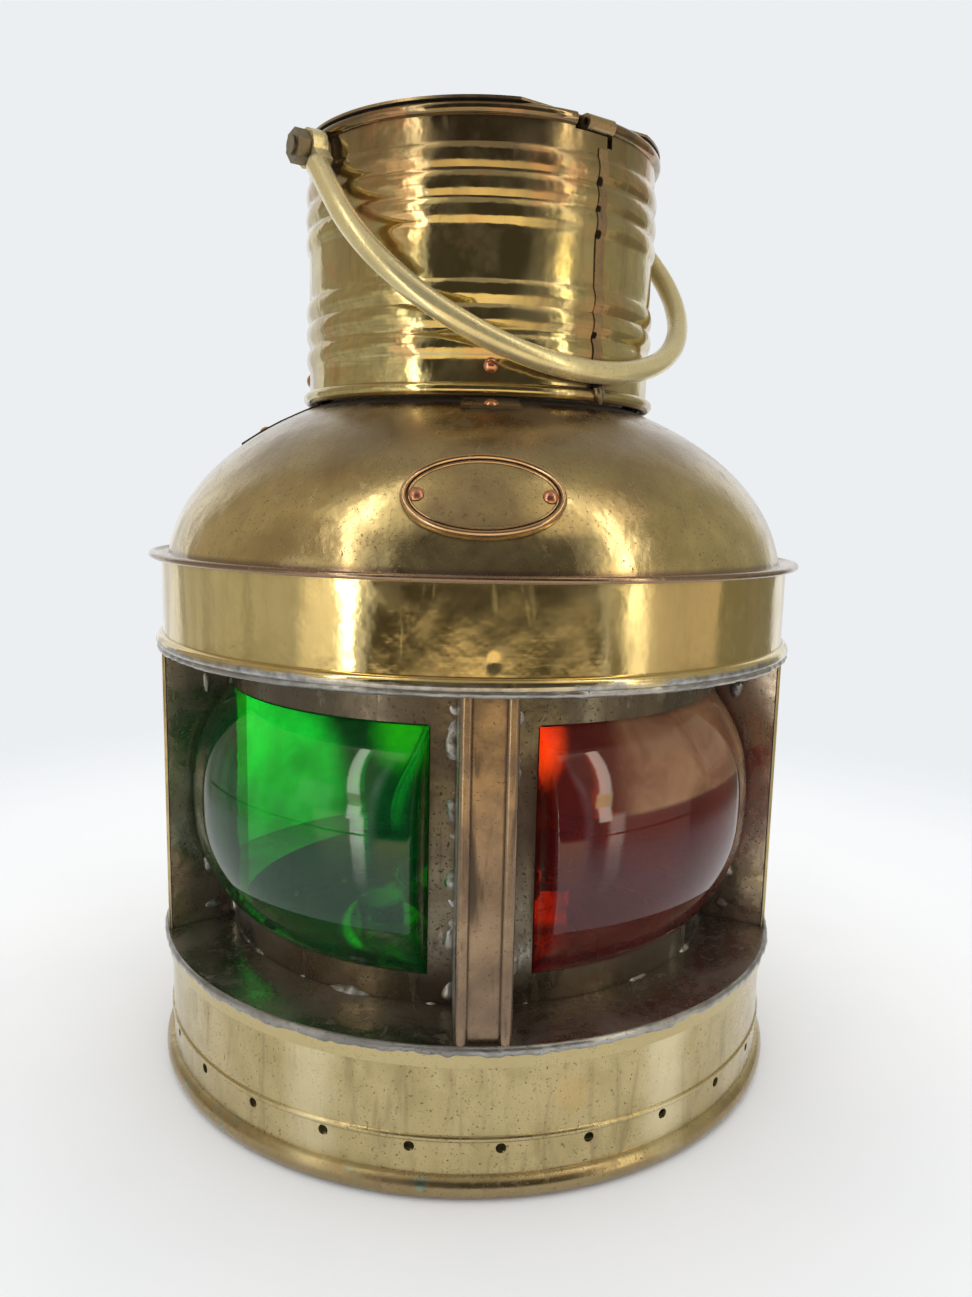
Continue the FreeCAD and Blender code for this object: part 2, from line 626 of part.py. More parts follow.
def door_catch():
    """Small sprung stop beside the free edge of the door."""
    middle = (DOOR_LOW_Z + DOOR_HIGH_Z) / 2.0
    first = 180.0 + DOOR_HALF_AZ + 0.3
    return ring(WALL_R + FIT, WALL_R + 1.4, middle - 4.0, middle + 4.0, first, first + 3.0)


# ---------------------------------------------------------------- band, dome and plate
def soffit_ring():
    return ring(SHELF_INNER_R, SOFFIT_OUTER_R, SOFFIT_Z, SOFFIT_Z + SHEET)


def band():
    wall = ring(BAND_R - SHEET, BAND_R, BAND_LOW_Z + 0.6, FLANGE_Z - FIT)
    circle_r = BAND_BEAD_OUTER_R - BAND_BEAD_R
    return fused([wall, torus(circle_r, BAND_BEAD_R, BAND_BEAD_Z)])


def band_solder():
    inner = SOFFIT_OUTER_R + FIT
    high = BAND_LOW_Z - FIT
    middle = (SOFFIT_Z + high) / 2.0
    points = [(inner, SOFFIT_Z), (inner + 0.7, SOFFIT_Z), (inner + 1.0, middle), (inner + 0.8, high)]
    return spun(outline(points + [(inner, high)]))


def chimney_strap_rivets():
    """(azimuth, radius) of the rivets that hold the straps to the dome."""
    places = []
    for i in range(4):
        radius = SIDE_STRAP_RIVET_R if i % 2 else END_STRAP_RIVET_R
        places.append((STRAP_AZ + 90.0 * i, radius))
    return places


def on_dome(shape, azimuth, radius, offset):
    """Places a +Z shape on the dome's outside, raised by offset along the normal."""
    tilt = dome_normal_tilt(radius)
    raised = shape.copy()
    raised.translate(FreeCAD.Vector(0, 0, offset))
    return placed(raised, tilt, azimuth, radius, dome_z(radius))


def oval_rivet_places():
    """Plate-frame offsets of the two rivets on the oval plate."""
    return [FreeCAD.Vector(sign * OVAL_RIVET_X, 0, 0) for sign in (-1, 1)]


def on_plate(shape, shift):
    radius = dome_radius(OVAL_CENTRE_Z)
    across = radius / math.sin(math.radians(PLATE_TILT))
    moved = shape.copy()
    lean = math.asin(shift.x / across)
    moved.rotate(ORIGIN, FreeCAD.Vector(0, 1, 0), math.degrees(lean))
    moved.translate(FreeCAD.Vector(shift.x, 0, -across * (1.0 - math.cos(lean))))
    return placed(moved, PLATE_TILT, OVAL_AZ, radius, OVAL_CENTRE_Z)


def dome():
    shell = dome_shell(-SHEET, 0.0, FLANGE_Z, NECK_R + FIT)
    foot_r = dome_radius(FLANGE_Z) - SHEET
    flange = ring(foot_r, FLANGE_OUTER_R - FLANGE_EDGE_R, FLANGE_Z, FLANGE_Z + SHEET)
    lip = torus(FLANGE_OUTER_R - FLANGE_EDGE_R, FLANGE_EDGE_R, FLANGE_Z + FLANGE_EDGE_R)
    body = fused([shell, flange, lip])
    hole = rivet_hole(6.0)
    holes = [on_dome(hole, azimuth, radius, 0.0) for azimuth, radius in chimney_strap_rivets()]
    holes += [on_plate(hole, shift) for shift in oval_rivet_places()]
    return cut_all(body, holes)


def oval_prism(half_wide, half_tall):
    """A straight prism on an ellipse, along the dome's normal at the plate."""
    ellipse = Part.Ellipse(ORIGIN, half_wide, half_tall).toShape()
    face = Part.Face(Part.Wire(ellipse))
    prism = face.extrude(FreeCAD.Vector(0, 0, 24.0))
    prism.translate(FreeCAD.Vector(0, 0, -12.0))
    return placed(prism, PLATE_TILT, OVAL_AZ, dome_radius(OVAL_CENTRE_Z), OVAL_CENTRE_Z)


def name_plate():
    low_z = FLANGE_Z + 2.0
    sheet = dome_shell(0.1, 0.1 + OVAL_THICK, low_z, NECK_R)
    rim = dome_shell(0.1, 0.1 + OVAL_THICK + OVAL_RIM_RISE, low_z, NECK_R)
    whole = oval_prism(OVAL_HALF_WIDE, OVAL_HALF_TALL)
    inner = oval_prism(OVAL_HALF_WIDE - OVAL_RIM, OVAL_HALF_TALL - OVAL_RIM)
    plate = fused([sheet.common(whole), rim.common(whole.cut(inner))])
    holes = [on_plate(rivet_hole(6.0), shift) for shift in oval_rivet_places()]
    return cut_all(plate, holes)


def plate_rivets():
    grip = OVAL_THICK + 0.1 + SHEET + 0.4
    raised = rivet(grip)
    raised.translate(FreeCAD.Vector(0, 0, OVAL_THICK + 0.25))
    return Part.makeCompound([on_plate(raised, shift) for shift in oval_rivet_places()])


def inner_neck():
    return ring(NECK_R - SHEET, NECK_R, NECK_LOW_Z, NECK_HIGH_Z)


# ---------------------------------------------------------------- chimney
def strap_stations(first_r, tip_r):
    """Radii along a strap, so close that its straight steps stay clear of the dome."""
    count = 4
    while True:
        radii = [first_r + (tip_r - first_r) * i / count for i in range(count + 1)]
        sags = [dome_z((a + b) / 2.0) - (dome_z(a) + dome_z(b)) / 2.0 for a, b in zip(radii, radii[1:])]
        if max(sags) < 1.1 * STRAP_LIFT:
            return radii
        count += 1


def strap_profile(tip_r):
    """Radius-height outline of a strap: up the chimney's inside, under its bead, down the dome."""
    wall = CHIMNEY_INNER_R - 0.15
    waist = CHIMNEY_BEAD_CIRCLE_R - CHIMNEY_BEAD_R - CLEAR
    under = strap_stations(waist - 0.5, tip_r)
    lift = STRAP_LIFT
    top = STRAP_LIFT + STRAP_THICK
    outside = [(r, dome_z(r, top)) for r in reversed(under[1:])]
    inside = [(r, dome_z(r, lift)) for r in under[1:]]
    knee = dome_z(waist, top)
    points = [(wall, CHIMNEY_RIVET_Z + 4.0), (wall, CHIMNEY_RIVET_Z - 2.8), (waist, CHIMNEY_BEAD_Z + 2.0)]
    points += [(waist, knee + 0.2)]
    points += list(reversed(outside))
    points += list(reversed(inside))
    inner_waist = waist - STRAP_THICK
    points += [(inner_waist, dome_z(inner_waist, lift)), (inner_waist, CHIMNEY_BEAD_Z + 2.3)]
    points += [(wall - STRAP_THICK, CHIMNEY_RIVET_Z - 2.5), (wall - STRAP_THICK, CHIMNEY_RIVET_Z + 4.0)]
    return points


def straps(kind):
    """Two opposite straps: kind 0 is front and back, kind 1 is the two sides."""
    tip = SIDE_STRAP_TIP_R if kind else END_STRAP_TIP_R
    half = SIDE_STRAP_HALF_AZ if kind else END_STRAP_HALF_AZ
    radius = SIDE_STRAP_RIVET_R if kind else END_STRAP_RIVET_R
    strap = spun(outline(strap_profile(tip)), -half, half)
    strap = strap.cut(on_dome(rivet_hole(6.0), 0.0, radius, 0.0))
    strap = strap.cut(placed(rivet_hole(8.0), 90.0, 0.0, CHIMNEY_R, CHIMNEY_RIVET_Z))
    return Part.makeCompound([turned(strap, STRAP_AZ + 90.0 * (kind + 2 * i)) for i in range(2)])


def strap_rivets():
    grip = STRAP_THICK + STRAP_LIFT + SHEET + 0.3
    return Part.makeCompound([on_dome(rivet(grip), azimuth, radius, STRAP_LIFT + STRAP_THICK + 0.1)
                              for azimuth, radius in chimney_strap_rivets()])


def chimney_rivets():
    grip = SHEET + 0.15 + STRAP_THICK + 0.3
    one = placed(rivet(grip), 90.0, STRAP_AZ, CHIMNEY_R + 0.1, CHIMNEY_RIVET_Z)
    return Part.makeCompound([turned(one, 90.0 * i) for i in range(4)])


def chimney():
    swages = [CHIMNEY_BEAD_Z + up for up in CHIMNEY_LOW_SWAGES]
    swages += [RIM_Z - down for down in CHIMNEY_HIGH_SWAGES]
    wall = swaged_wall(CHIMNEY_R, SHEET, CHIMNEY_BEAD_Z, RIM_Z, swages,
                       CHIMNEY_SWAGE_HALF, CHIMNEY_SWAGE_RISE)
    body = curled(wall, CHIMNEY_BEAD_CIRCLE_R, CHIMNEY_BEAD_R, CHIMNEY_BEAD_Z, SHEET)
    body = curled(body, RIM_CIRCLE_R, RIM_BEAD_R, RIM_Z, RIM_BEAD_R - RIM_WIRE_R - FIT)
    gap_low = RIM_Z - LID_KNUCKLE_R - CLEAR
    spans = (LID_AZ - LID_GAP_HALF_AZ, LID_AZ + LID_GAP_HALF_AZ)
    cuts = [ring(RIM_CIRCLE_R - 4.0, RIM_OUTER_R + 2.0, gap_low, RIM_Z + 4.0, *spans)]
    half = math.degrees(NOTCH_WIDE / 2.0 / CHIMNEY_R)
    cuts.append(ring(CHIMNEY_R - 3.0, CHIMNEY_R + 3.0, NOTCH_Z, NOTCH_Z + NOTCH_TALL + 3.0,
                     NOTCH_AZ - half, min(NOTCH_AZ + half, spans[1])))
    for i in range(4):
        cuts.append(placed(rivet_hole(6.0), 90.0, STRAP_AZ + 90.0 * i, CHIMNEY_R, CHIMNEY_RIVET_Z))
    for side in (-90.0, 90.0):
        azimuth = LID_AZ + side
        cuts.append(rod(BOLT_R + FIT, polar(azimuth, CHIMNEY_R - 6.0, PIVOT_Z),
                        polar(azimuth, CHIMNEY_R + 6.0, PIVOT_Z)))
    return cut_all(body, cuts)


def rim_wire():
    """Wire inside the rolled rim. Across the hinge it runs straight, as the lid's hinge pin."""
    face = Part.Face(Part.Wire(Part.Circle(FreeCAD.Vector(RIM_CIRCLE_R, 0, RIM_Z),
                                          FreeCAD.Vector(0, 1, 0), RIM_WIRE_R).toShape()))
    arc = spun(face, LID_AZ + LID_GAP_HALF_AZ, LID_AZ - LID_GAP_HALF_AZ + FULL)
    straight = rod(RIM_WIRE_R, polar(LID_AZ - LID_GAP_HALF_AZ, RIM_CIRCLE_R, RIM_Z),
                   polar(LID_AZ + LID_GAP_HALF_AZ, RIM_CIRCLE_R, RIM_Z))
    return arc.fuse(straight).removeSplitter()


# ---------------------------------------------------------------- lid
def lid_crown(z):
    """Smooth raised middle of the lid, with its flat brim, as a revolved sheet."""
    count = 6
    curves = []
    for lift in (0.0, LID_SHEET):
        points = []
        for i in range(count + 1):
            r = LID_DOME_R * (1.0 - i / count)
            rise = LID_DOME_RISE * (0.5 + 0.5 * math.cos(math.pi * r / LID_DOME_R))
            points.append(FreeCAD.Vector(r, 0, z + lift + rise))
        curve = Part.BSplineCurve()
        curve.interpolate(points)
        curves.append((curve.toShape(), points[0], points[-1]))
    (low, low_start, low_end), (high, high_start, high_end) = curves
    brim = [low_start, FreeCAD.Vector(LID_R, 0, z), FreeCAD.Vector(LID_R, 0, z + LID_SHEET), high_start]
    edges = [low, high, Part.LineSegment(low_end, high_end).toShape()] + Part.makePolygon(brim).Edges
    return spun(Part.Face(Part.Wire(Part.__sortEdges__(edges))))


def lid():
    crown = lid_crown(LID_Z)
    step = FULL / LID_VENTS
    for i in range(LID_VENTS):
        foot = polar(step * i, LID_VENT_CIRCLE_R, LID_Z - 1.0)
        crown = crown.cut(Part.makeCylinder(LID_VENT_R, LID_DOME_RISE + 4.0, foot))
    front = LID_HINGE_R - RIM_WIRE_R - 2.0
    tall = (LID_Z - 2.0, LID_Z + LID_SHEET + 2.0)
    crown = crown.cut(turned(slab((-LID_R, LID_R), (-LID_R - 5.0, -front), tall), LID_AZ))
    ends = (LID_KNUCKLE_LOW, LID_KNUCKLE_HIGH)
    line = [FreeCAD.Vector(x, -LID_HINGE_R, RIM_Z) for x in ends]
    leaf_top = RIM_Z + LID_KNUCKLE_R
    leaf = slab(ends, (-LID_HINGE_R, -front + 6.0), (leaf_top - LID_SHEET, leaf_top))
    riser = slab(ends, (-front + 3.0, -front + 6.0), (leaf_top - LID_SHEET, LID_Z + LID_SHEET))
    hinge = fused([rod(LID_KNUCKLE_R, *line), leaf, riser]).cut(rod(LID_KNUCKLE_BORE_R, *line))
    half = LID_TAB_WIDE / 2.0
    reach = LID_R + LID_TAB_REACH
    tab = slab((-half, half), (LID_R - 4.0, reach), (LID_Z, LID_Z + LID_SHEET))
    curl_ends = [FreeCAD.Vector(x, reach, LID_Z + 0.6) for x in (-half, half)]
    return fused([crown, turned(fused([hinge, tab, rod(1.0, *curl_ends)]), LID_AZ)])


# ---------------------------------------------------------------- bail
def bail():
    """Swinging handle, built hanging towards -Y from pivots on the X axis, then set at rest."""
    straight = BAIL_LENGTH - BAIL_HALF
    bend = Part.makeTorus(BAIL_HALF, BAIL_ROD_R, FreeCAD.Vector(0, -straight, 0), UP)
    far = BAIL_HALF + 2.0 * BAIL_ROD_R
    bend = bend.common(slab((-far, far), (-straight - far, -straight), (-far, far)))
    pieces = [bend]
    neck = EYE_R + 2.2
    eye_middle = (EYE_INNER + EYE_OUTER) / 2.0
    bores = []
    for sign in (-1, 1):
        x = sign * BAIL_HALF
        pieces.append(rod(BAIL_ROD_R, FreeCAD.Vector(x, -neck, 0), FreeCAD.Vector(x, -straight, 0)))
        tip = FreeCAD.Vector(x, -neck, 0)
        pieces.append(Part.makeCone(BAIL_ROD_R, EYE_THICK / 2.0 - 0.2, 2.4, tip, FreeCAD.Vector(0, 1, 0)))
        faces = sorted((sign * EYE_INNER, sign * EYE_OUTER))
        ends = [FreeCAD.Vector(face, 0, 0) for face in faces]
        pieces.append(rod(EYE_R, *ends))
        pieces.append(slab(faces, (-neck - 1.0, -2.0), (-BAIL_ROD_R, BAIL_ROD_R)))
        beyond = [FreeCAD.Vector(sign * eye_middle + way * EYE_THICK, 0, 0) for way in (-1, 1)]
        bores.append(rod(BOLT_R + RUN, *beyond))
    shape = cut_all(fused(pieces), bores)
    shape.rotate(ORIGIN, FreeCAD.Vector(1, 0, 0), BAIL_DROP)
    shape.translate(FreeCAD.Vector(0, 0, PIVOT_Z))
    return turned(shape, LID_AZ)


def both_pivots(shape):
    """Two copies of a shape built along +X, one at each pivot of the bail."""
    shape.translate(FreeCAD.Vector(0, 0, PIVOT_Z))
    return Part.makeCompound([turned(shape, LID_AZ), turned(shape, LID_AZ + 180.0)])


def x_rod(radius, start, end):
    return rod(radius, FreeCAD.Vector(start, 0, 0), FreeCAD.Vector(end, 0, 0))


NUT_FACE = EYE_OUTER + CLEAR
BOLT_END = NUT_FACE + NUT_TALL + 0.8


def bail_bolts():
    head_face = CHIMNEY_INNER_R - 0.2
    head = x_rod(BOLT_HEAD_R, head_face - 2.4, head_face)
    return both_pivots(fused([x_rod(BOLT_R, head_face - 1.0, BOLT_END), head]))


def bail_spacers():
    sleeve = x_rod(SPACER_R, CHIMNEY_R + 0.1, EYE_INNER - 0.2)
    return both_pivots(sleeve.cut(x_rod(BOLT_R + FIT, CHIMNEY_R - 1.0, EYE_INNER + 1.0)))


def bail_nuts():
    corner = NUT_ACROSS / math.sqrt(3.0)
    angles = [math.radians(60.0 * i + 12.0) for i in range(7)]
    points = [FreeCAD.Vector(NUT_FACE, corner * math.cos(a), corner * math.sin(a)) for a in angles]
    nut = Part.Face(Part.makePolygon(points)).extrude(FreeCAD.Vector(NUT_TALL, 0, 0))
    return both_pivots(nut.cut(x_rod(BOLT_R + FIT, NUT_FACE - 1.0, BOLT_END)))


# ---------------------------------------------------------------- oil lamp
def oil_font():
    low = FLOOR_TOP_Z + 0.2
    outer = Part.makeCylinder(FONT_R, FONT_TOP_Z - low, FreeCAD.Vector(0, 0, low))
    rims = [edge for edge in outer.Edges if edge.Curve.TypeId == "Part::GeomCircle"]
    top_rim = max(rims, key=lambda edge: edge.CenterOfMass.z)
    outer = outer.makeFillet(FONT_ROUND, [top_rim])
    inner_r = FONT_R - SHEET
    inner = Part.makeCylinder(inner_r, FONT_TOP_Z - low - 2.0 * SHEET, FreeCAD.Vector(0, 0, low + SHEET))
    rims = [edge for edge in inner.Edges if edge.Curve.TypeId == "Part::GeomCircle"]
    top_rim = max(rims, key=lambda edge: edge.CenterOfMass.z)
    inner = inner.makeFillet(FONT_ROUND - SHEET, [top_rim])
    filler = FreeCAD.Vector(-FILLER_AT, 0, FONT_TOP_Z - 2.0)
    neck = Part.makeCylinder(FILLER_R - 1.5, 5.0, filler)
    body = outer.cut(inner).fuse(neck)
    body = body.cut(Part.makeCylinder(FILLER_R - 2.5, 9.0, filler.sub(FreeCAD.Vector(0, 0, 2))))
    return body.cut(Part.makeCylinder(COLLAR_R - 3.5, 5.0, FreeCAD.Vector(0, 0, FONT_TOP_Z - 3.0)))


def filler_cap():
    foot = FreeCAD.Vector(-FILLER_AT, 0, FONT_TOP_Z + 0.2)
    cap = Part.makeCylinder(FILLER_R, 6.0, foot)
    return cap.cut(Part.makeCylinder(FILLER_R - 1.5 + RUN, 3.0, foot))


def burner_collar():
    return ring(COLLAR_R - 2.5, COLLAR_R, FONT_TOP_Z + FIT, BURNER_BASE_Z - FIT)


def burner():
    skirt = COLLAR_R - 2.5 - FIT
    pieces = [ring(0, BURNER_R, BURNER_BASE_Z, BURNER_BASE_Z + SHEET)]
    pieces.append(ring(skirt - SHEET, skirt, FONT_TOP_Z + CLEAR, BURNER_BASE_Z + SHEET))
    pieces.append(ring(BURNER_R - SHEET, BURNER_R, BURNER_BASE_Z, GALLERY_Z + SHEET))
    pieces.append(ring(BURNER_R - SHEET, GALLERY_R, GALLERY_Z, GALLERY_Z + SHEET))
    pieces.append(ring(GALLERY_R - SHEET, GALLERY_R, GALLERY_Z, GALLERY_Z + 5.0))
    body = fused(pieces)
    half_x = TUBE_X + WICK_TUBE_SHEET + FIT
    half_y = TUBE_Y + WICK_TUBE_SHEET + FIT
    body = body.cut(slab((-half_x, half_x), (-half_y, half_y), (FONT_TOP_Z, GALLERY_Z - 1.0)))
    return body.cut(rod(SPINDLE_R + RUN, FreeCAD.Vector(0, SPINDLE_Y, SPINDLE_Z),
                        FreeCAD.Vector(BURNER_R + 5.0, SPINDLE_Y, SPINDLE_Z)))


def wick_tube():
    tall = (FONT_TOP_Z - 4.0, WICK_TOP_Z - 2.0)
    out_x = TUBE_X + WICK_TUBE_SHEET
    out_y = TUBE_Y + WICK_TUBE_SHEET
    tube = slab((-out_x, out_x), (-out_y, out_y), tall)
    bore = slab((-TUBE_X, TUBE_X), (-TUBE_Y, TUBE_Y), (tall[0] - 1.0, tall[1] + 1.0))
    return tube.cut(bore)


def wick():
    half_x = WICK_WIDE / 2.0
    half_y = WICK_THICK / 2.0
    return slab((-half_x, half_x), (-half_y, half_y), (FLOOR_TOP_Z + 5.0, WICK_TOP_Z))


def flame_spreader():
    """Domed cap over the wick tube, slotted for the flame."""
    low = GALLERY_Z + SHEET + FIT
    rise = WICK_TOP_Z - 4.0 - low
    foot_r = BURNER_R - 1.0
    top_r = 11.0
    points = [(foot_r, low), (foot_r, low + 3.0), (top_r, low + rise), (0, low + rise)]
    points += [(0, low + rise - SHEET), (top_r - 0.5, low + rise - SHEET), (foot_r - SHEET, low + 2.6)]
    points += [(foot_r - SHEET, low)]
    cap = spun(outline(points))
    slot_x = TUBE_X + WICK_TUBE_SHEET + CLEAR
    slot_y = TUBE_Y + WICK_TUBE_SHEET + CLEAR
    return cap.cut(slab((-slot_x, slot_x), (-slot_y, slot_y), (low, WICK_TOP_Z + 5.0)))


def wick_spindle():
    """Spindle with its two toothed wheels and the turning knob."""
    def along(radius, start, end):
        ends = [FreeCAD.Vector(x, SPINDLE_Y, SPINDLE_Z) for x in (start, end)]
        return rod(radius, *ends)
    wheel_y = TUBE_Y + WICK_TUBE_SHEET + CLEAR
    wheel_r = min(SPINDLE_WHEEL_R, SPINDLE_Y - wheel_y, SPINDLE_Z - BURNER_BASE_Z - SHEET - 0.1,
                  GALLERY_Z - SPINDLE_Z + 0.4)
    knob_x = GALLERY_R + 10.0
    pieces = [along(SPINDLE_R, -7.0, knob_x + 3.0), along(KNOB_R, knob_x, knob_x + 3.0)]
    pieces += [along(wheel_r, x - 0.8, x + 0.8) for x in (-4.0, 4.0)]
    knob = fused(pieces)
    for i in range(12):
        angle = math.radians(30.0 * i)
        y = SPINDLE_Y + (KNOB_R + 0.3) * math.cos(angle)
        z = SPINDLE_Z + (KNOB_R + 0.3) * math.sin(angle)
        flute = rod(0.9, FreeCAD.Vector(knob_x - 1.0, y, z), FreeCAD.Vector(knob_x + 4.0, y, z))
        knob = knob.cut(flute)
    return knob


def lamp_glass():
    """Glass chimney of the lamp: straight foot, round belly, narrower top."""
    low = GALLERY_Z + SHEET + 0.2
    shapes = []
    for inset in (0.0, CHIMNEY_GLASS_THICK):
        heights = (low, low + 6.0, low + 24.0, low + 48.0, CHIMNEY_GLASS_TOP_Z)
        radii = (GLASS_FOOT_R, GLASS_FOOT_R, GLASS_BELLY_R, GLASS_TOP_R + 2.5, GLASS_TOP_R)
        points = [FreeCAD.Vector(r - inset, 0, z) for r, z in zip(radii, heights)]
        curve = Part.BSplineCurve()
        curve.interpolate(points)
        shapes.append((curve.toShape(), points[0], points[-1]))
    (outer, outer_low, outer_high), (inner, inner_low, inner_high) = shapes
    foot = Part.LineSegment(inner_low, outer_low).toShape()
    rim = Part.LineSegment(inner_high, outer_high).toShape()
    return spun(Part.Face(Part.Wire(Part.__sortEdges__([outer, inner, foot, rim]))))


# ---------------------------------------------------------------- all nodes
NODES = {
    "base_drum": base_drum,
    "foot_wire": foot_wire,
    "bottom_plate": bottom_plate,
    "font_seat_ring": font_seat_ring,
    "sill_ring": sill_ring,
    "sill_solder": sill_solder,
    "centre_pillar": centre_pillar,
    "window_frame_left": lambda: window_frame(-1),
    "window_frame_right": lambda: window_frame(1),
    "lens_green": lambda: lens(-1),
    "lens_red": lambda: lens(1),
    "lens_clips_left": lambda: lens_clips(-1),
    "lens_clips_right": lambda: lens_clips(1),
    "side_plate_left": lambda: side_plate(-1),
    "side_plate_right": lambda: side_plate(1),
    "back_wall": back_wall,
    "centre_screen": centre_screen,
    "door": door,
    "door_hinge_leaf": door_hinge_leaf,
    "door_hinge_pin": door_hinge_pin,
    "door_knob": door_knob,
    "door_catch": door_catch,
    "soffit_ring": soffit_ring,
    "band": band,
    "band_solder": band_solder,
    "dome": dome,
    "name_plate": name_plate,
    "plate_rivets": plate_rivets,
    "inner_neck": inner_neck,
    "chimney_end_straps": lambda: straps(0),
    "chimney_side_straps": lambda: straps(1),
    "strap_rivets": strap_rivets,
    "chimney_rivets": chimney_rivets,
    "chimney": chimney,
    "rim_wire": rim_wire,
    "lid": lid,
    "bail": bail,
    "bail_bolts": bail_bolts,
    "bail_spacers": bail_spacers,
    "bail_nuts": bail_nuts,
    "oil_font": oil_font,
    "filler_cap": filler_cap,
    "burner_collar": burner_collar,
    "burner": burner,
    "wick_tube": wick_tube,
    "wick": wick,
    "flame_spreader": flame_spreader,
    "wick_spindle": wick_spindle,
    "lamp_glass": lamp_glass,
}


def main():
    os.makedirs("parts", exist_ok=True)
    for name, make in NODES.items():
        shape = make()
        solids = len(shape.Solids)
        state = "valid" if shape.isValid() else "INVALID"
        print(name, solids, "solids", round(shape.Volume, 1), "mm3", state)
        shape.exportStep("parts/" + name + ".step")


main()
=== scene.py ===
import math

import bmesh
import bpy
from mathutils import Matrix, Vector, noise


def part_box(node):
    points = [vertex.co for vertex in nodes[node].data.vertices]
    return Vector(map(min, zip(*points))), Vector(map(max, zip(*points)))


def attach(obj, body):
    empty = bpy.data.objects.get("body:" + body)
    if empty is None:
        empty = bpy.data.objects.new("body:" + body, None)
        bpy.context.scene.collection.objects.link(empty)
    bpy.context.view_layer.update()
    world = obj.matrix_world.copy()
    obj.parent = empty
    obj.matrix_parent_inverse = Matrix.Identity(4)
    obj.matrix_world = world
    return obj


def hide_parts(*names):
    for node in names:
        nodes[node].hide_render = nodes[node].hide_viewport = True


# Two-colour ship lantern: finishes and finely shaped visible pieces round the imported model.
# Lengths are in millimetres until a mesh is made. An azimuth is measured in degrees from the
# front, -Y, towards +X, as in the part's own source.

MM = 0.001
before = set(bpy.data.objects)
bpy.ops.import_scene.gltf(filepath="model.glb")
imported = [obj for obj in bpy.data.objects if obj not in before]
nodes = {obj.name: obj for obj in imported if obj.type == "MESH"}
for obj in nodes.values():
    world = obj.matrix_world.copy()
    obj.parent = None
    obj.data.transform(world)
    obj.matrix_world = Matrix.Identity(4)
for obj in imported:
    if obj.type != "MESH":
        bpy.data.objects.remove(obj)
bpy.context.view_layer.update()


# ---- sizes taken from the frame
def low(node):
    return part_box(node)[0] / MM


def high(node):
    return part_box(node)[1] / MM


SHEET = 0.8
FIT = 0.05
DRUM_R = high("bottom_plate").x + FIT + SHEET
DRUM_TOP = high("base_drum").z
FOOT_OUTER_R = high("base_drum").x
FOOT_BEAD_R = 3.4
FOOT_BEAD_Z = 3.25
SWAGE_Z = 16.3
VENTS = 26
VENT_R = 1.4
VENT_Z = 13.7
VENT_FIRST_AZ = 3.1
SILL_TOP = high("sill_ring").z
SILL_R = high("sill_ring").x
SOLDER_R = high("sill_solder").x
SOFFIT_LOW = low("soffit_ring").z
BAND_LOW = low("band").z
BAND_TOP = high("band").z
BAND_BEAD_OUTER_R = high("band").x
BAND_BEAD_R = 1.9
BAND_R = BAND_BEAD_OUTER_R - 2.0
FLANGE_LOW = low("dome").z
FLANGE_R = high("dome").x
FLANGE_EDGE_R = 0.9
DOME_A = BAND_R - 2.0
DOME_B = 57.5
DOME_N = 1.95
DOME_Z0 = FLANGE_LOW - 2.5
DOME_SMOOTH_Z = 204.0
CHIMNEY_R = high("chimney").x - 1.9
CHIMNEY_BEAD_R = 1.9
CHIMNEY_BEAD_Z = low("chimney").z + CHIMNEY_BEAD_R
RIM_BEAD_R = 1.75
RIM_Z = high("chimney").z - RIM_BEAD_R
RIM_CIRCLE_R = CHIMNEY_R + 1.5 - RIM_BEAD_R
LOW_SWAGES = [CHIMNEY_BEAD_Z + up for up in (11.5, 19.0, 25.5)]
HIGH_SWAGES = [RIM_Z - down for down in (25.05, 18.25, 11.25)]
SWAGE_HALF = 3.15
SWAGE_RISE = 0.85
FRAME_R = high("window_frame_right").x / math.sin(math.radians(77.1))
GLASS_LOW = low("lens_green").z + 2.3
GLASS_HIGH = high("lens_green").z - 2.3
GLASS_START_R = FRAME_R + 1.0
GLASS_BULGE = 11.5
GLASS_FIRST_AZ = 10.9
GLASS_LAST_AZ = 74.4
LID_AZ = 31.8
OVAL_Z = FLANGE_LOW + 20.0
OVAL_AZ = -1.4
OVAL_WIDE = 20.0
OVAL_TALL = 12.0


# ---- mesh helpers
def polar(azimuth, radius, z):
    angle = math.radians(azimuth)
    return Vector((radius * math.sin(angle), -radius * math.cos(angle), z))


def arc(r, z, radius, first, last, steps):
    """Round stretch of an outline; its angles run from outwards, 0, to up, 90."""
    angles = [math.radians(first + (last - first) * i / steps) for i in range(steps + 1)]
    return [(r + radius * math.cos(a), z + radius * math.sin(a)) for a in angles]


def straight(r, first, last, step):
    """Points up a plain stretch of wall, without its two ends."""
    count = max(1, round(abs(last - first) / step))
    return [(r, first + (last - first) * i / count) for i in range(1, count)]


def swage(r, z, half, rise):
    """Half-round rib on a wall, as seen in section."""
    radius = (half ** 2 + rise ** 2) / (2.0 * rise)
    reach = math.degrees(math.asin(half / radius))
    return arc(r + rise - radius, z, radius, -reach, reach, 12)


def new_object(name, data):
    made = bpy.data.objects.new(name, data)
    bpy.context.scene.collection.objects.link(made)
    return made


def one_sheet_in(outline):
    """The same outline, one sheet further in."""
    return [(r - SHEET, z) for r, z in outline]


def meeting(wall_r, circle_r, bead_r):
    """Angle on a bead's round section at which it meets a wall."""
    return math.degrees(math.acos((wall_r - circle_r) / bead_r))


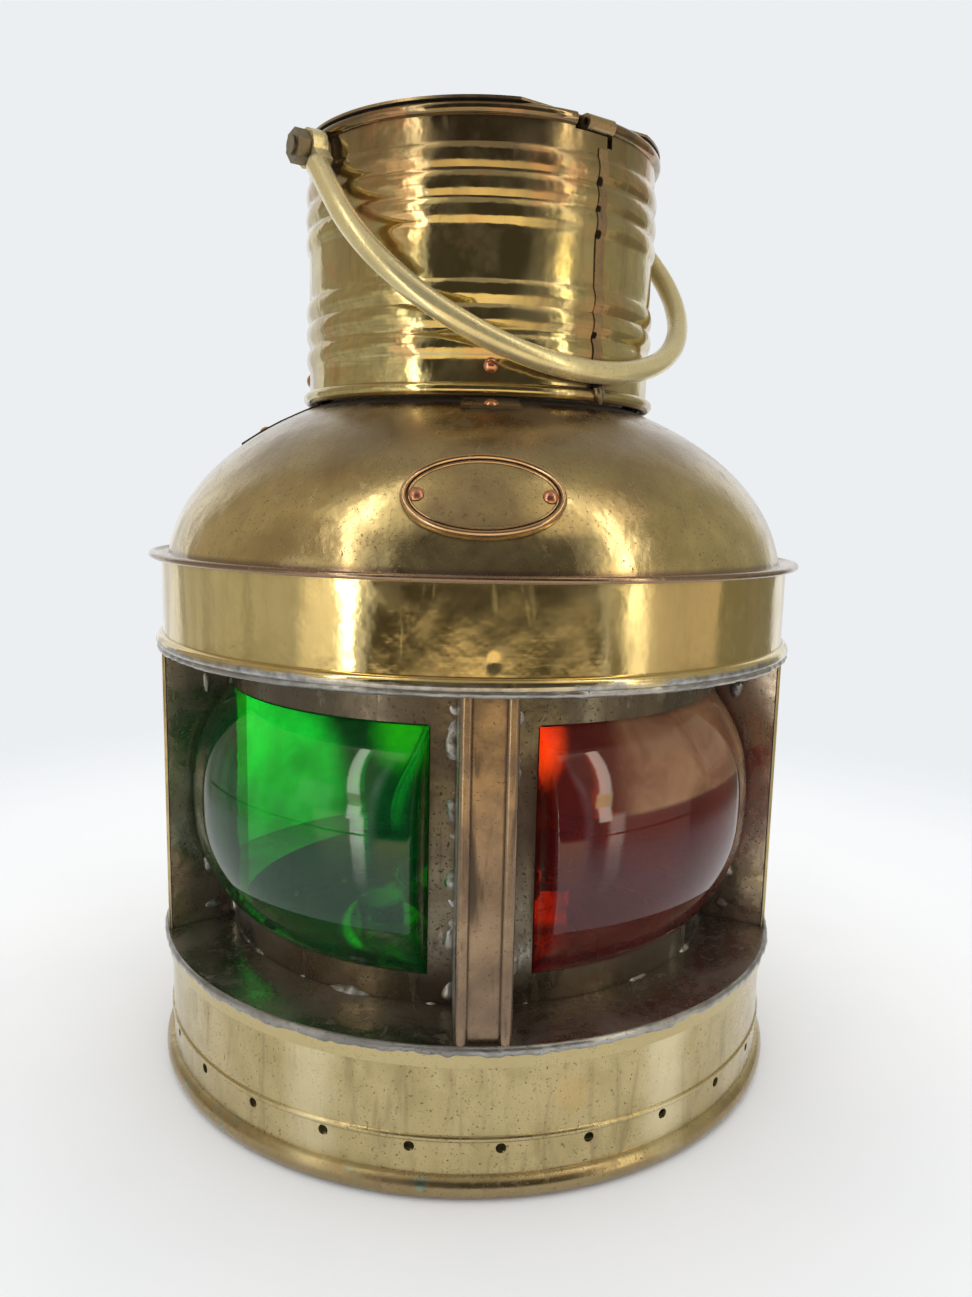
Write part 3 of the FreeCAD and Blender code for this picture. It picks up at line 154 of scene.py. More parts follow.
def mesh_piece(name, points, faces, material, slot, body="lantern", replaces=(), sharp=32.0):
    """One finished piece: points in millimetres, smooth but for edges sharper than the angle given."""
    mesh = bpy.data.meshes.new(name)
    mesh.from_pydata([tuple(c * MM for c in p) for p in points], [], faces)
    shape = bmesh.new()
    shape.from_mesh(mesh)
    bmesh.ops.recalc_face_normals(shape, faces=shape.faces)
    limit = math.radians(sharp)
    for face in shape.faces:
        face.smooth = True
    for edge in shape.edges:
        edge.smooth = len(edge.link_faces) == 2 and edge.calc_face_angle(0.0) < limit
    shape.to_mesh(mesh)
    shape.free()
    piece = new_object(name, mesh)
    mesh.materials.append(material)
    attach(piece, body)
    if replaces:
        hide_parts(*replaces)


def ring_faces(columns, count):
    """Faces between closed outlines of count points that stand in a closed ring."""
    faces = []
    for i in range(columns):
        a = i * count
        b = (i + 1) % columns * count
        for j in range(count):
            k = (j + 1) % count
            faces.append((a + j, b + j, b + k, a + k))
    return faces


def strip_faces(rows, count):
    """Faces between closed outlines of count points that follow each other along a path."""
    faces = []
    for i in range(rows - 1):
        a = i * count
        for j in range(count):
            k = (j + 1) % count
            faces.append((a + j, a + k, a + count + k, a + count + j))
    return faces


def no_wobble(azimuth, r, z):
    return 0.0


def uneven(amount, wide, tall, seed):
    """Slow radial waviness of a hand-worked shell, never outwards past its own outline."""
    def shift(azimuth, r, z):
        spot = polar(azimuth, r, z)
        spot = Vector((spot.x / wide, spot.y / wide, z / tall + seed))
        return amount * (noise.noise(spot) - 0.5)
    return shift


def lathe(name, outline, material, slot, wobble, **facts):
    """A closed outline turned once round the axis."""
    columns = 720
    points = []
    for i in range(columns):
        azimuth = 360.0 * i / columns
        points += [polar(azimuth, r + wobble(azimuth, r, z), z) for r, z in outline]
    mesh_piece(name, points, ring_faces(columns, len(outline)), material, slot, **facts)


def wall(name, outer, inner, azimuths, material, slot, keep=None, wobble=no_wobble, moved=None, **facts):
    """Two matching outlines turned through the azimuths, with side faces round every cell left out."""
    around = azimuths[-1] - azimuths[0] > 359.0
    columns = len(azimuths) if around else len(azimuths) - 1
    rows = len(outer)
    points = []
    for outline in (outer, inner):
        for i, azimuth in enumerate(azimuths):
            for j, (r, z) in enumerate(outline):
                turn, up = moved.get((i, j), (0.0, 0.0)) if moved else (0.0, 0.0)
                shift = wobble(azimuth + turn, r, z + up)
                points.append(polar(azimuth + turn, r + shift, z + up))
    back = len(azimuths) * rows
    faces = []

    def kept(i, j):
        if not 0 <= j < rows - 1 or not (around or 0 <= i < columns):
            return False
        return keep is None or keep(i % columns, j)

    for i in range(columns):
        for j in range(rows - 1):
            if not kept(i, j):
                continue
            a = i * rows + j
            b = (i + 1) % len(azimuths) * rows + j
            faces.append((a, b, b + 1, a + 1))
            faces.append((back + a, back + a + 1, back + b + 1, back + b))
            if not kept(i, j - 1):
                faces.append((a, back + a, back + b, b))
            if not kept(i, j + 1):
                faces.append((a + 1, b + 1, back + b + 1, back + a + 1))
            if not kept(i - 1, j):
                faces.append((a, a + 1, back + a + 1, back + a))
            if not kept(i + 1, j):
                faces.append((b, back + b, back + b + 1, b + 1))
    mesh_piece(name, points, faces, material, slot, **facts)


def tube(name, path, radii, material, slot, flat, lumps):
    """A closed tube along a path, whose radius follows radii and swells by lumps at random."""
    sides = 20
    count = len(path)
    points = []
    side = None
    for i, spot in enumerate(path):
        along = (path[min(i + 1, count - 1)] - path[max(i - 1, 0)]).normalized()
        if side is None:
            side = along.orthogonal().normalized()
        side = (side - along * side.dot(along)).normalized()
        up = along.cross(side)
        for k in range(sides):
            turn = 2.0 * math.pi * k / sides
            out = side * math.cos(turn) + up * math.sin(turn) * flat
            swell = 1.0 + lumps * noise.noise((spot + out * radii[i]) / 2.3)
            points.append(spot + out * radii[i] * swell)
    faces = strip_faces(count, sides)
    faces.append(tuple(reversed(range(sides))))
    faces.append(tuple(range((count - 1) * sides, count * sides)))
    mesh_piece(name, points, faces, material, slot)


# ---- material helpers
class Paint:
    """Nodes of one material or world, with short calls for what the finishes share."""

    def __init__(self, owner, output="OutputMaterial", coordinates="Object"):
        self.owner = owner
        owner.use_nodes = True
        self.nodes = owner.node_tree.nodes
        self.links = owner.node_tree.links
        self.nodes.clear()
        self.out = self.nodes.new("ShaderNode" + output)
        self.where = self.nodes.new("ShaderNodeTexCoord").outputs[coordinates]

    def set(self, socket, value):
        if hasattr(value, "is_linked"):
            self.links.new(value, socket)
        elif isinstance(value, tuple) and len(value) == 3 and len(socket.default_value) == 4:
            socket.default_value = (*value, 1.0)
        else:
            socket.default_value = value

    def add(self, kind, values=None, **settings):
        node = self.nodes.new("ShaderNode" + kind)
        for key, value in settings.items():
            setattr(node, key, value)
        for key, value in (values or {}).items():
            self.set(node.inputs[key], value)
        return node

    def math(self, operation, a, b=0.0):
        return self.add("Math", {0: a, 1: b}, operation=operation).outputs[0]

    def times(self, a, b):
        return self.math("MULTIPLY", a, b)

    def placed(self, stretch, shift):
        values = {"Vector": self.where, "Scale": stretch, "Location": (shift, shift * 1.7, shift * 0.3)}
        return self.add("Mapping", values).outputs[0]

    def grain(self, scale, detail=4.0, rough=0.55, stretch=(1.0, 1.0, 1.0), shift=0.0, warp=0.0):
        """Plain noise from 0 to 1; scale is in features per metre."""
        values = {"Vector": self.placed(stretch, shift), "Scale": scale, "Detail": detail,
                  "Roughness": rough, "Distortion": warp}
        return self.add("TexNoise", values).outputs["Fac"]

    def between(self, value, first, last, to_first=0.0, to_last=1.0):
        values = {"Value": value, "From Min": first, "From Max": last,
                  "To Min": to_first, "To Max": to_last}
        return self.add("MapRange", values, interpolation_type="SMOOTHSTEP").outputs[0]

    def mask(self, scale, first, last, **facts):
        return self.between(self.grain(scale, **facts), first, last)

    def mix(self, factor, a, b):
        return self.add("Mix", {0: factor, 6: a, 7: b}, data_type="RGBA").outputs[2]

    def blend(self, factor, a, b):
        """Mix of two shaders."""
        return self.add("MixShader", {0: factor, 1: a, 2: b}).outputs[0]

    def over(self, colour, tone, mask, share):
        """The tone laid over a colour by a share of the mask."""
        return self.mix(self.times(mask, share), colour, tone)

    def axes(self):
        return self.add("SeparateXYZ", {0: self.where}).outputs

    def height(self):
        return self.axes()[2]

    def ragged_height(self, rise, scale, **facts):
        """Height plus noise of up to rise millimetres, for an edge that isn't level."""
        return self.math("ADD", self.height(), self.times(self.grain(scale, **facts), rise * MM))

    def around(self):
        """Azimuth in degrees, and the height as it stands."""
        x, y, z = self.axes()
        return self.math("DEGREES", self.math("ARCTAN2", x, self.times(y, -1.0))), z

    def level(self, value, first, last, to_first=0.0, to_last=1.0):
        """Like between, with its two limits in millimetres."""
        return self.between(value, first * MM, last * MM, to_first, to_last)

    def spot(self, place, radius, soft, ragged):
        """1 within radius of a place, both in millimetres, fading out; ragged breaks up its edge."""
        centre = tuple(c * MM for c in place)
        gap = self.add("VectorMath", {0: self.where, 1: centre}, operation="DISTANCE").outputs["Value"]
        gap = self.math("ADD", gap, self.times(self.grain(260.0, shift=0.4), ragged * MM))
        gap = self.math("SUBTRACT", gap, 0.5 * ragged * MM)
        return self.level(gap, radius, radius * (1.0 - soft))

    def hollow(self, reach, first, last):
        """1 in corners and under edges, where grime gathers and shade falls: a mask for grime and painted
        shade.
        """
        open_sky = self.add("AmbientOcclusion", {"Distance": reach * MM}, samples=6).outputs["AO"]
        return self.between(open_sky, last, first)

    def gloss_edge(self, straight_on, normal=None):
        """Share of light a clear surface throws back, the same from either side."""
        node = self.add("LayerWeight", {"Blend": 0.5})
        if normal is not None:
            self.set(node.inputs["Normal"], normal)
        slant = self.math("POWER", node.outputs["Facing"], 5.0)
        return self.math("ADD", straight_on, self.times(slant, 1.0 - straight_on))

    def bump(self, layers):
        """Stacks (height, depth in millimetres) layers into one normal."""
        normal = None
        for value, depth in layers:
            node = self.add("Bump", {"Height": value, "Strength": 1.0, "Distance": depth * MM})
            if normal is not None:
                self.set(node.inputs["Normal"], normal)
            normal = node.outputs[0]
        return normal

    def finish(self, shader):
        self.links.new(shader, self.out.inputs["Surface"])
        return self.owner


def new_paint(name):
    return Paint(bpy.data.materials.new(name))


def brass(name, clean, tarnish, dirt_and_shade, roughness, seed, patches=0.6, mottle=0.4, streaks=0.3,
          specks=0.5, rings=0.15, waves=0.12, pits=0.003, extra=None, crevice=0.8, reach=3.5):
    """Aged sheet brass: clean metal under tarnish, run marks, dark specks, grime with painted shade in its
    corners, and a painted pale sheen at grazing angles.
    """
    p = new_paint(name)
    old = p.mask(26.0, 0.40, 0.66, detail=6.0, rough=0.6, shift=seed, warp=0.6)
    cloud = p.mask(120.0, 0.38, 0.70, detail=5.0, shift=seed + 1.0)
    run = p.mask(260.0, 0.50, 0.74, detail=6.0, stretch=(1.0, 1.0, 0.16), shift=seed + 2.0, warp=0.5)
    speck = p.mask(1300.0, 0.62, 0.70, detail=2.0, shift=seed + 3.0)
    pit = p.mask(340.0, 0.70, 0.76, detail=3.0, shift=seed + 4.0)
    line = p.grain(1500.0, detail=2.0, stretch=(0.05, 0.05, 1.0), shift=seed + 5.0)
    # Painted shade with grime: occlusion darkens corners and the undersides of edges.
    corner = p.hollow(reach, 0.30, 0.75)
    colour = p.over(clean, tarnish, old, patches)
    colour = p.over(colour, tarnish, cloud, mottle)
    for mask, share in ((run, streaks), (speck, specks), (pit, 0.7 * specks), (corner, crevice)):
        colour = p.over(colour, dirt_and_shade, mask, share)
    dull = corner
    for mask, share in ((old, 0.7), (run, 0.8), (cloud, 0.5), (speck, min(1.0, specks))):
        dull = p.math("MAXIMUM", dull, p.times(mask, share))
    metal = p.between(dull, 0.0, 1.0, 1.0, 0.86)
    rough = p.between(dull, 0.0, 1.0, roughness[0], roughness[1])
    layers = [(p.grain(24.0, detail=2.0, shift=seed + 6.0), waves * 6.0),
              (p.grain(95.0, detail=3.0, shift=seed + 7.0), waves),
              (line, rings * 0.02),
              (p.math("ADD", speck, pit), -pits * min(1.0, 2.0 * specks))]
    if extra:
        colour, rough, metal = extra(p, colour, rough, metal)
    # Painted sheen: a pale tone laid over the colour where the surface turns away at grazing angles.
    colour = p.over(colour, (0.86, 0.85, 0.82), p.gloss_edge(0.0), 0.7)
    shader = p.add("BsdfPrincipled", {"Base Color": colour, "Metallic": metal, "Roughness": rough,
                                      "Normal": p.bump(layers)})
    return p.finish(shader.outputs[0])


def glass(name, tint, deep, body, veil, painted_reflection):
    """Coloured pressed glass: tinted see-through body, a cloudy veil in it and a clear uneven gloss.

    A painted reflection is a warm patch laid into the veil, standing in for a reflected wall: its colour,
    first azimuth, lowest height and share.
    """
    p = new_paint(name)
    stain = p.mix(p.mask(40.0, 0.35, 0.65, detail=2.0), tint, deep)
    seen = p.add("BsdfTransparent", {"Color": stain}).outputs[0]
    cloud = p.grain(55.0, detail=3.0, warp=0.8)
    milk = p.mix(p.between(cloud, 0.3, 0.7), body, tuple(0.72 * c for c in body))
    if painted_reflection:
        # Painted reflection: a warm patch above a slanting lower edge, laid into the veil.
        colour, first_az, low_z, share = painted_reflection
        turn, z = p.around()
        drift = p.times(p.grain(26.0, detail=3.0, warp=0.5), 5.0)
        side = p.between(p.math("ADD", turn, drift), first_az + 1.0, first_az + 12.0)
        rise = p.math("ADD", p.times(z, 1.0 / MM), p.times(turn, -0.06))
        over = p.between(rise, low_z, low_z + 2.0)
        share = p.between(cloud, 0.3, 0.7, share, 0.65 * share)
        painted_reflection_mask = p.times(p.times(side, over), share)
        milk = p.mix(painted_reflection_mask, milk, colour)
        veil = p.math("MAXIMUM", p.times(painted_reflection_mask, 0.85), veil)
    lit = p.add("BsdfTranslucent", {"Color": milk}).outputs[0]
    dusty = p.add("BsdfDiffuse", {"Color": milk}).outputs[0]
    veiled = p.blend(0.5, lit, dusty)
    inner = p.blend(veil, seen, veiled)
    normal = p.bump([(p.grain(30.0, detail=1.0), 0.25), (p.grain(900.0, detail=2.0), 0.002)])
    gloss = p.add("BsdfGlossy", {"Color": (1.0, 1.0, 1.0), "Roughness": 0.02, "Normal": normal})
    edge = p.gloss_edge(0.045, normal)
    dust = p.mask(1600.0, 0.70, 0.76, detail=2.0)
    grime = p.add("BsdfDiffuse", {"Color": (0.5, 0.5, 0.45)}).outputs[0]
    surface = p.blend(edge, inner, gloss.outputs[0])
    return p.finish(p.blend(p.times(dust, 0.08), surface, grime))


POLISHED = (0.76, 0.60, 0.27)
WARM = (0.62, 0.41, 0.16)
OLIVE = (0.40, 0.32, 0.14)
BROWN = (0.23, 0.155, 0.085)
DARK = (0.055, 0.042, 0.028)
SOLDER = (0.46, 0.46, 0.47)
VERDIGRIS = (0.22, 0.36, 0.29)

# Heights over which a surface darkens.
CROWN_BROWN = (183.0, 214.0)
CHIMNEY_BROWN = (250.0, 282.0)
RIM_DARK = (273.6, 275.2)
WICK_BURNT = (57.0, 60.5)


def band_marks(p, colour, rough, metal):
    """Solder wiped over the lower half of the bead, and a painted warm reflection at the left edge."""
    edge = p.ragged_height(2.4, 120.0, detail=3.0, shift=3.1)
    grey = p.level(edge, BAND_LOW + 3.9, BAND_LOW + 3.2)
    grain = p.mask(300.0, 0.3, 0.7, detail=5.0)
    most = p.level(p.axes()[0], 55.0, -20.0, 0.25, 1.0)
    patchy = p.mask(44.0, 0.38, 0.56, detail=4.0, shift=6.2)
    grey = p.times(grey, p.math("MAXIMUM", p.times(most, 0.8), patchy))
    # Painted reflection: a warm copper-coloured patch where the band turns away at its left edge.
    colour = p.mix(p.spot(polar(-84, BAND_R, 148), 26.0, 0.9, 6.0), colour, (0.70, 0.36, 0.20))
    colour = p.mix(grey, colour, p.mix(grain, SOLDER, (0.22, 0.21, 0.21)))
    rough = p.math("MAXIMUM", rough, p.times(grey, 0.38))
    return colour, rough, metal


def drum_marks(p, colour, rough, metal):
    """Brown foot bead with verdigris, a stain on the front and two painted vertical highlight strips."""
    foot = p.level(p.ragged_height(4.0, 70.0, detail=3.0, shift=5.1), 9.0, 7.0)
    colour = p.over(colour, BROWN, foot, 0.55)
    green = p.times(foot, p.mask(180.0, 0.60, 0.68, detail=4.0, shift=1.4))
    colour = p.over(colour, VERDIGRIS, green, 0.6)
    colour = p.over(colour, WARM, p.spot(polar(14, DRUM_R, 27), 6.5, 0.6, 5.0), 0.45)
    # Painted highlights: pale strips at two azimuths, standing in for reflected tube lamps.
    for azimuth, share in ((-27.0, 0.5), (31.0, 0.7)):
        for up in (12.0, 24.0, 36.0):
            painted_highlight = p.spot(polar(azimuth, DRUM_R, up), 12.0, 0.9, 4.0)
            colour = p.over(colour, (0.84, 0.74, 0.47), painted_highlight, share)
    return colour, rough, metal


def dome_marks(p, colour, rough, metal):
    """Browner crown and flange, with wide stains between them."""
    crown = p.level(p.ragged_height(30.0, 38.0, detail=4.0, shift=4.1, warp=0.6), *CROWN_BROWN)
    colour = p.over(colour, BROWN, crown, 0.85)
    stain = p.mask(17.0, 0.50, 0.64, detail=7.0, rough=0.62, shift=5.3, warp=1.0)
    colour = p.over(colour, (0.30, 0.20, 0.11), stain, 0.4)
    rough = p.math("ADD", rough, p.times(crown, 0.08))
    flange = p.level(p.height(), FLANGE_LOW + 3.2, FLANGE_LOW + 1.4)
    colour = p.over(colour, (0.25, 0.16, 0.12), flange, 0.85)
    return colour, rough, metal


def chimney_marks(p, colour, rough, metal):
    """Heat-browned upper part and rim, over a yellower foot."""
    top = p.level(p.ragged_height(16.0, 60.0, detail=3.0, shift=2.1), *CHIMNEY_BROWN)
    colour = p.over(colour, BROWN, top, 0.7)
    colour = p.over(colour, (0.12, 0.08, 0.055), p.level(p.height(), *RIM_DARK), 0.45)
    heat = p.mask(55.0, 0.52, 0.62, detail=4.0, shift=8.0)
    colour = p.over(colour, (0.62, 0.30, 0.14), heat, 0.35)
    return colour, rough, metal


def patina_marks(p, colour, rough, metal):
    """Grey smears of solder and green specks on the dark window metal, brass below the sill's lip."""
    smear = p.mask(130.0, 0.60, 0.70, detail=6.0, rough=0.65, shift=9.0, stretch=(1.0, 1.0, 0.5))
    colour = p.over(colour, (0.36, 0.35, 0.33), smear, 0.55)
    green = p.mask(420.0, 0.72, 0.77, detail=3.0, shift=11.0)
    colour = p.over(colour, VERDIGRIS, green, 0.35)
    lip = p.level(p.height(), SILL_TOP - 0.9, SILL_TOP - 1.1)
    colour = p.mix(lip, colour, (0.54, 0.44, 0.22))
    return colour, rough, metal


def handled(p, colour, rough, metal):
    """Satin, oxidised skin of the much handled rod."""
    return colour, rough, p.times(metal, 0.68)


def seam_slot_shade(p, colour, rough, metal):
    """Painted shade of the open slots along the lap of the seam: near-black spots, not holes."""
    for up, size in ((262.0, 1.6), (255.0, 1.2), (248.5, 1.5), (232.0, 1.0), (222.0, 1.2)):
        slot = p.spot(polar(33.7, CHIMNEY_R + 0.2, up), size, 0.3, 0.8)
        colour = p.mix(slot, colour, (0.02, 0.015, 0.01))
    return colour, rough, metal


def dull_inside(p, colour, rough, metal, reach=0.35):
    """Oxidised, sooty inner face behind the bright outside of the drum wall."""
    x, y, _ = p.axes()
    across = p.add("CombineXYZ", {0: x, 1: y, 2: 0.0}).outputs[0]
    radius = p.add("VectorMath", {0: across}, operation="LENGTH").outputs["Value"]
    inner = p.level(radius, DRUM_R + reach + 0.1, DRUM_R + reach - 0.1)
    soot = p.mix(p.mask(60.0, 0.35, 0.65, detail=4.0), (0.58, 0.52, 0.38), (0.42, 0.36, 0.25))
    colour = p.mix(inner, colour, soot)
    rough = p.math("MAXIMUM", rough, p.times(inner, 0.7))
    metal = p.times(metal, p.math("SUBTRACT", 1.0, inner))
    return colour, rough, metal


def dull_door(p, colour, rough, metal):
    """The same inner face on the door, which lies outside the wall."""
    return dull_inside(p, colour, rough, metal, 1.65)


def cotton():
    """Woven wick, scorched at its top."""
    p = new_paint("wick_cotton")
    weave = p.add("TexWave", {"Vector": p.where, "Scale": 420.0, "Distortion": 1.5, "Detail": 2.0},
                  bands_direction="Z").outputs["Fac"]
    fluff = p.grain(1500.0, detail=3.0)
    burnt = p.level(p.height(), *WICK_BURNT)
    colour = p.mix(p.between(weave, 0.2, 0.8), (0.78, 0.72, 0.58), (0.60, 0.53, 0.40))
    colour = p.mix(burnt, colour, (0.03, 0.025, 0.02))
    shader = p.add("BsdfPrincipled", {"Base Color": colour, "Roughness": 0.9,
                                      "Normal": p.bump([(weave, 0.15), (fluff, 0.08)])})
    return p.finish(shader.outputs[0])


# Each brass: material name, clean, tarnish, tone of grime and painted corner shade, roughness when clean
# and when dull, noise seed.
BRASSES = {
    "drum": ("drum_brass", (0.55, 0.445, 0.225), OLIVE, BROWN, (0.25, 0.50), 1.0,
             dict(mottle=0.5, streaks=0.4, specks=0.95, extra=drum_marks)),
    "band": ("band_brass", POLISHED, (0.55, 0.42, 0.19), OLIVE, (0.075, 0.22), 20.0,
             dict(patches=0.5, mottle=0.25, streaks=0.35, specks=0.25, extra=band_marks)),
    "dome": ("dome_brass", (0.70, 0.55, 0.27), (0.42, 0.33, 0.15), BROWN, (0.15, 0.34), 40.0,
             dict(patches=0.8, mottle=0.6, specks=0.9, waves=0.2, extra=dome_marks)),
    "chimney": ("chimney_brass", (0.62, 0.51, 0.235), (0.36, 0.285, 0.13), BROWN, (0.10, 0.28), 60.0,
                dict(patches=0.75, mottle=0.35, streaks=0.45, specks=0.08, waves=0.3,
                     extra=chimney_marks)),
    "plate": ("plate_brass", (0.56, 0.43, 0.20), BROWN, DARK, (0.22, 0.42), 80.0,
              dict(crevice=1.0, reach=1.6)),
    "back": ("wall_brass", (0.60, 0.48, 0.23), OLIVE, BROWN, (0.22, 0.45), 90.0,
             dict(extra=dull_inside)),
    "door": ("door_brass", (0.60, 0.48, 0.23), OLIVE, BROWN, (0.22, 0.45), 92.0,
             dict(extra=dull_door)),
    "rim": ("plate_rim_brass", (0.70, 0.47, 0.26), (0.46, 0.28, 0.14), DARK, (0.14, 0.3), 85.0,
            dict(mottle=0.5, streaks=0.0, specks=0.3, rings=0.0, crevice=1.0, reach=1.4)),
    "seam": ("seam_brass", (0.50, 0.34, 0.18), (0.26, 0.17, 0.10), DARK, (0.2, 0.42), 65.0,
             dict(patches=0.8, mottle=0.6, specks=0.6, rings=0.0, extra=seam_slot_shade, crevice=1.0,
                  reach=1.0)),
    "brown": ("brown_brass", (0.46, 0.33, 0.17), (0.28, 0.20, 0.12), DARK, (0.26, 0.45), 95.0,
              dict(patches=0.7, mottle=0.5, specks=0.4)),
    "bail": ("bail_brass", (0.80, 0.68, 0.36), (0.58, 0.48, 0.23), BROWN, (0.22, 0.40), 100.0,
             dict(streaks=0.0, specks=0.4, rings=0.0, waves=0.05, extra=handled)),
    "patina": ("brown_patina", (0.16, 0.14, 0.10), (0.10, 0.075, 0.055), DARK, (0.2, 0.5), 120.0,
               dict(patches=0.95, mottle=0.6, streaks=0.25, specks=0.8, waves=0.25, pits=0.04,
                    extra=patina_marks)),
    "side": ("side_patina", (0.54, 0.48, 0.37), (0.33, 0.26, 0.20), DARK, (0.2, 0.45), 125.0,
             dict(patches=0.9, mottle=0.6, specks=0.8, waves=0.3, pits=0.04, extra=patina_marks)),
    "pillar": ("pillar_brass", (0.33, 0.235, 0.15), (0.17, 0.115, 0.08), DARK, (0.18, 0.42), 130.0,
               dict(patches=0.7, mottle=0.5, streaks=0.8, waves=0.15)),
    "bolt": ("bolt_brass", (0.26, 0.21, 0.13), (0.17, 0.13, 0.08), DARK, (0.35, 0.6), 140.0,
             dict(patches=0.7, specks=0.6)),
    "copper": ("copper", (0.66, 0.31, 0.19), (0.42, 0.20, 0.12), DARK, (0.25, 0.5), 150.0,
               dict(patches=0.5, streaks=0.0, specks=0.3)),
    "solder": ("solder", (0.44, 0.43, 0.41), (0.20, 0.19, 0.18), (0.06, 0.05, 0.04), (0.32, 0.58), 160.0,
               dict(patches=0.7, mottle=0.8, streaks=0.0, specks=0.6, rings=0.0, waves=0.4, pits=0.05)),
    "wire": ("steel_wire", (0.62, 0.61, 0.60), (0.4, 0.38, 0.36), BROWN, (0.2, 0.4), 170.0,
             dict(patches=0.4, streaks=0.0, specks=0.2, rings=0.0)),
    "lamp": ("lamp_brass", (0.70, 0.55, 0.27), (0.5, 0.37, 0.17), BROWN, (0.2, 0.4), 180.0, {}),
}

# Each glass: material name, tint, deeper tint, colour and share of the veil, painted reflection.
GLASSES = {
    "green": ("green_glass", (0.09, 0.84, 0.24), (0.06, 0.74, 0.20), (0.010, 0.26, 0.10), 0.17, None),
    # The red glass carries a painted reflection of a warm wall in its veil.
    "red": ("red_glass", (0.85, 0.28, 0.13), (0.72, 0.17, 0.10), (0.38, 0.07, 0.08), 0.22,
            ((0.70, 0.46, 0.23), 20.0, 93.5, 0.85)),
    "clear": ("clear_glass", (0.96, 0.98, 0.97), (0.92, 0.95, 0.94), (0.5, 0.5, 0.5), 0.03, None),
}


def make_materials():
    made = {key: brass(*look, **facts) for key, (*look, facts) in BRASSES.items()}
    made.update((key, glass(*look)) for key, look in GLASSES.items())
    made["wick"] = cotton()
    return made


FINISH = make_materials()
CAD_FINISH = {
    "back": "bottom_plate font_seat_ring back_wall door_hinge_leaf door_hinge_pin door_knob "
            "door_catch inner_neck",
    "door": "door",
    "brown": "lid",
    "dome": "chimney_end_straps chimney_side_straps",
    "plate": "name_plate",
    "pillar": "centre_pillar",
    "side": "side_plate_left side_plate_right sill_ring",
    "patina": "window_frame_left window_frame_right "
              "soffit_ring centre_screen lens_clips_left lens_clips_right",
    "bail": "bail_spacers bail",
    "bolt": "bail_bolts bail_nuts",
    "copper": "strap_rivets chimney_rivets plate_rivets",
    "wire": "foot_wire rim_wire",
    "lamp": "oil_font filler_cap burner_collar burner wick_tube flame_spreader wick_spindle",
    "clear": "lamp_glass",
    "wick": "wick",
}


def paint_cad_nodes():
    for finish, names in CAD_FINISH.items():
        for name in names.split():
            slots = nodes[name].data.materials
            slots.clear()
            slots.append(FINISH[finish])


# ---- shells of the lantern
RING_COLUMNS = 900


def make_drum():
    """Base drum with its foot bead, ring of vents and swage."""
    step = 0.7
    vent_columns = 34
    columns = VENTS * vent_columns
    azimuths = [VENT_FIRST_AZ + 360.0 * i / columns for i in range(columns)]
    circle_r = FOOT_OUTER_R - FOOT_BEAD_R
    floor = math.degrees(math.asin(FOOT_BEAD_Z / FOOT_BEAD_R))
    rise = meeting(DRUM_R, circle_r, FOOT_BEAD_R)
    turn = meeting(DRUM_R - SHEET, circle_r, FOOT_BEAD_R)
    heights = [7.6, 8.6, 9.6, 10.6] + [VENT_Z + step * k for k in range(-3, 3)]
    outer = arc(circle_r, FOOT_BEAD_Z, FOOT_BEAD_R, -floor, rise, 16)
    inner = arc(circle_r, FOOT_BEAD_Z, FOOT_BEAD_R, -180.0 + floor, -360.0 + turn, 16)
    above = [(DRUM_R, z) for z in heights] + swage(DRUM_R, SWAGE_Z, 1.0, 0.6)
    above += straight(DRUM_R, SWAGE_Z + 1.0, DRUM_TOP, 1.6) + [(DRUM_R, DRUM_TOP)]
    outer += above
    inner += one_sheet_in(above)
    middle = outer.index((DRUM_R, VENT_Z))
    # Each vent leaves out a block of cells, and the points round the block move onto a circle.
    holes = set()
    moved = {}
    for vent in range(VENTS):
        centre = vent * vent_columns
        for di in range(-2, 3):
            for dj in range(-2, 3):
                if max(abs(di), abs(dj)) == 2:
                    reach = math.hypot(di, dj)
                    side = math.degrees(di / reach * VENT_R / DRUM_R) - di * 360.0 / columns
                    up = dj / reach * VENT_R - dj * step
                    moved[(centre + di) % columns, middle + dj] = (side, up)
                if di < 2 and dj < 2:
                    holes.add(((centre + di) % columns, middle + dj))
    wall("drum_shell", outer, inner, azimuths, FINISH["drum"], "brass",
         keep=lambda i, j: (i, j) not in holes, moved=moved,
         wobble=uneven(0.12, 30.0, 24.0, 2.0), replaces=["base_drum"])


def make_sill_solder():
    """Wiped solder along the edge of the sill, uneven in width and height."""
    inner = SILL_R + FIT
    top = SILL_TOP + 0.25
    count = 9
    points = []
    for i in range(RING_COLUMNS):
        azimuth = 360.0 * i / RING_COLUMNS
        ragged = noise.noise(polar(azimuth, 9.0, 3.0)) + 0.6 * noise.noise(polar(azimuth, 40.0, 8.0))
        wide = SOLDER_R - inner - 0.35 + 0.3 * ragged
        tall = 2.7 + 1.1 * ragged
        for k in range(count):
            angle = math.radians(90.0 - 180.0 * k / (count - 1))
            r = inner + max(0.15, wide) * math.cos(angle)
            points.append(polar(azimuth, min(r, SOLDER_R), top - tall / 2.0 * (1.0 - math.sin(angle))))
    mesh_piece("sill_solder_run", points, ring_faces(RING_COLUMNS, count), FINISH["solder"], "solder",
               replaces=["sill_solder"], sharp=70.0)


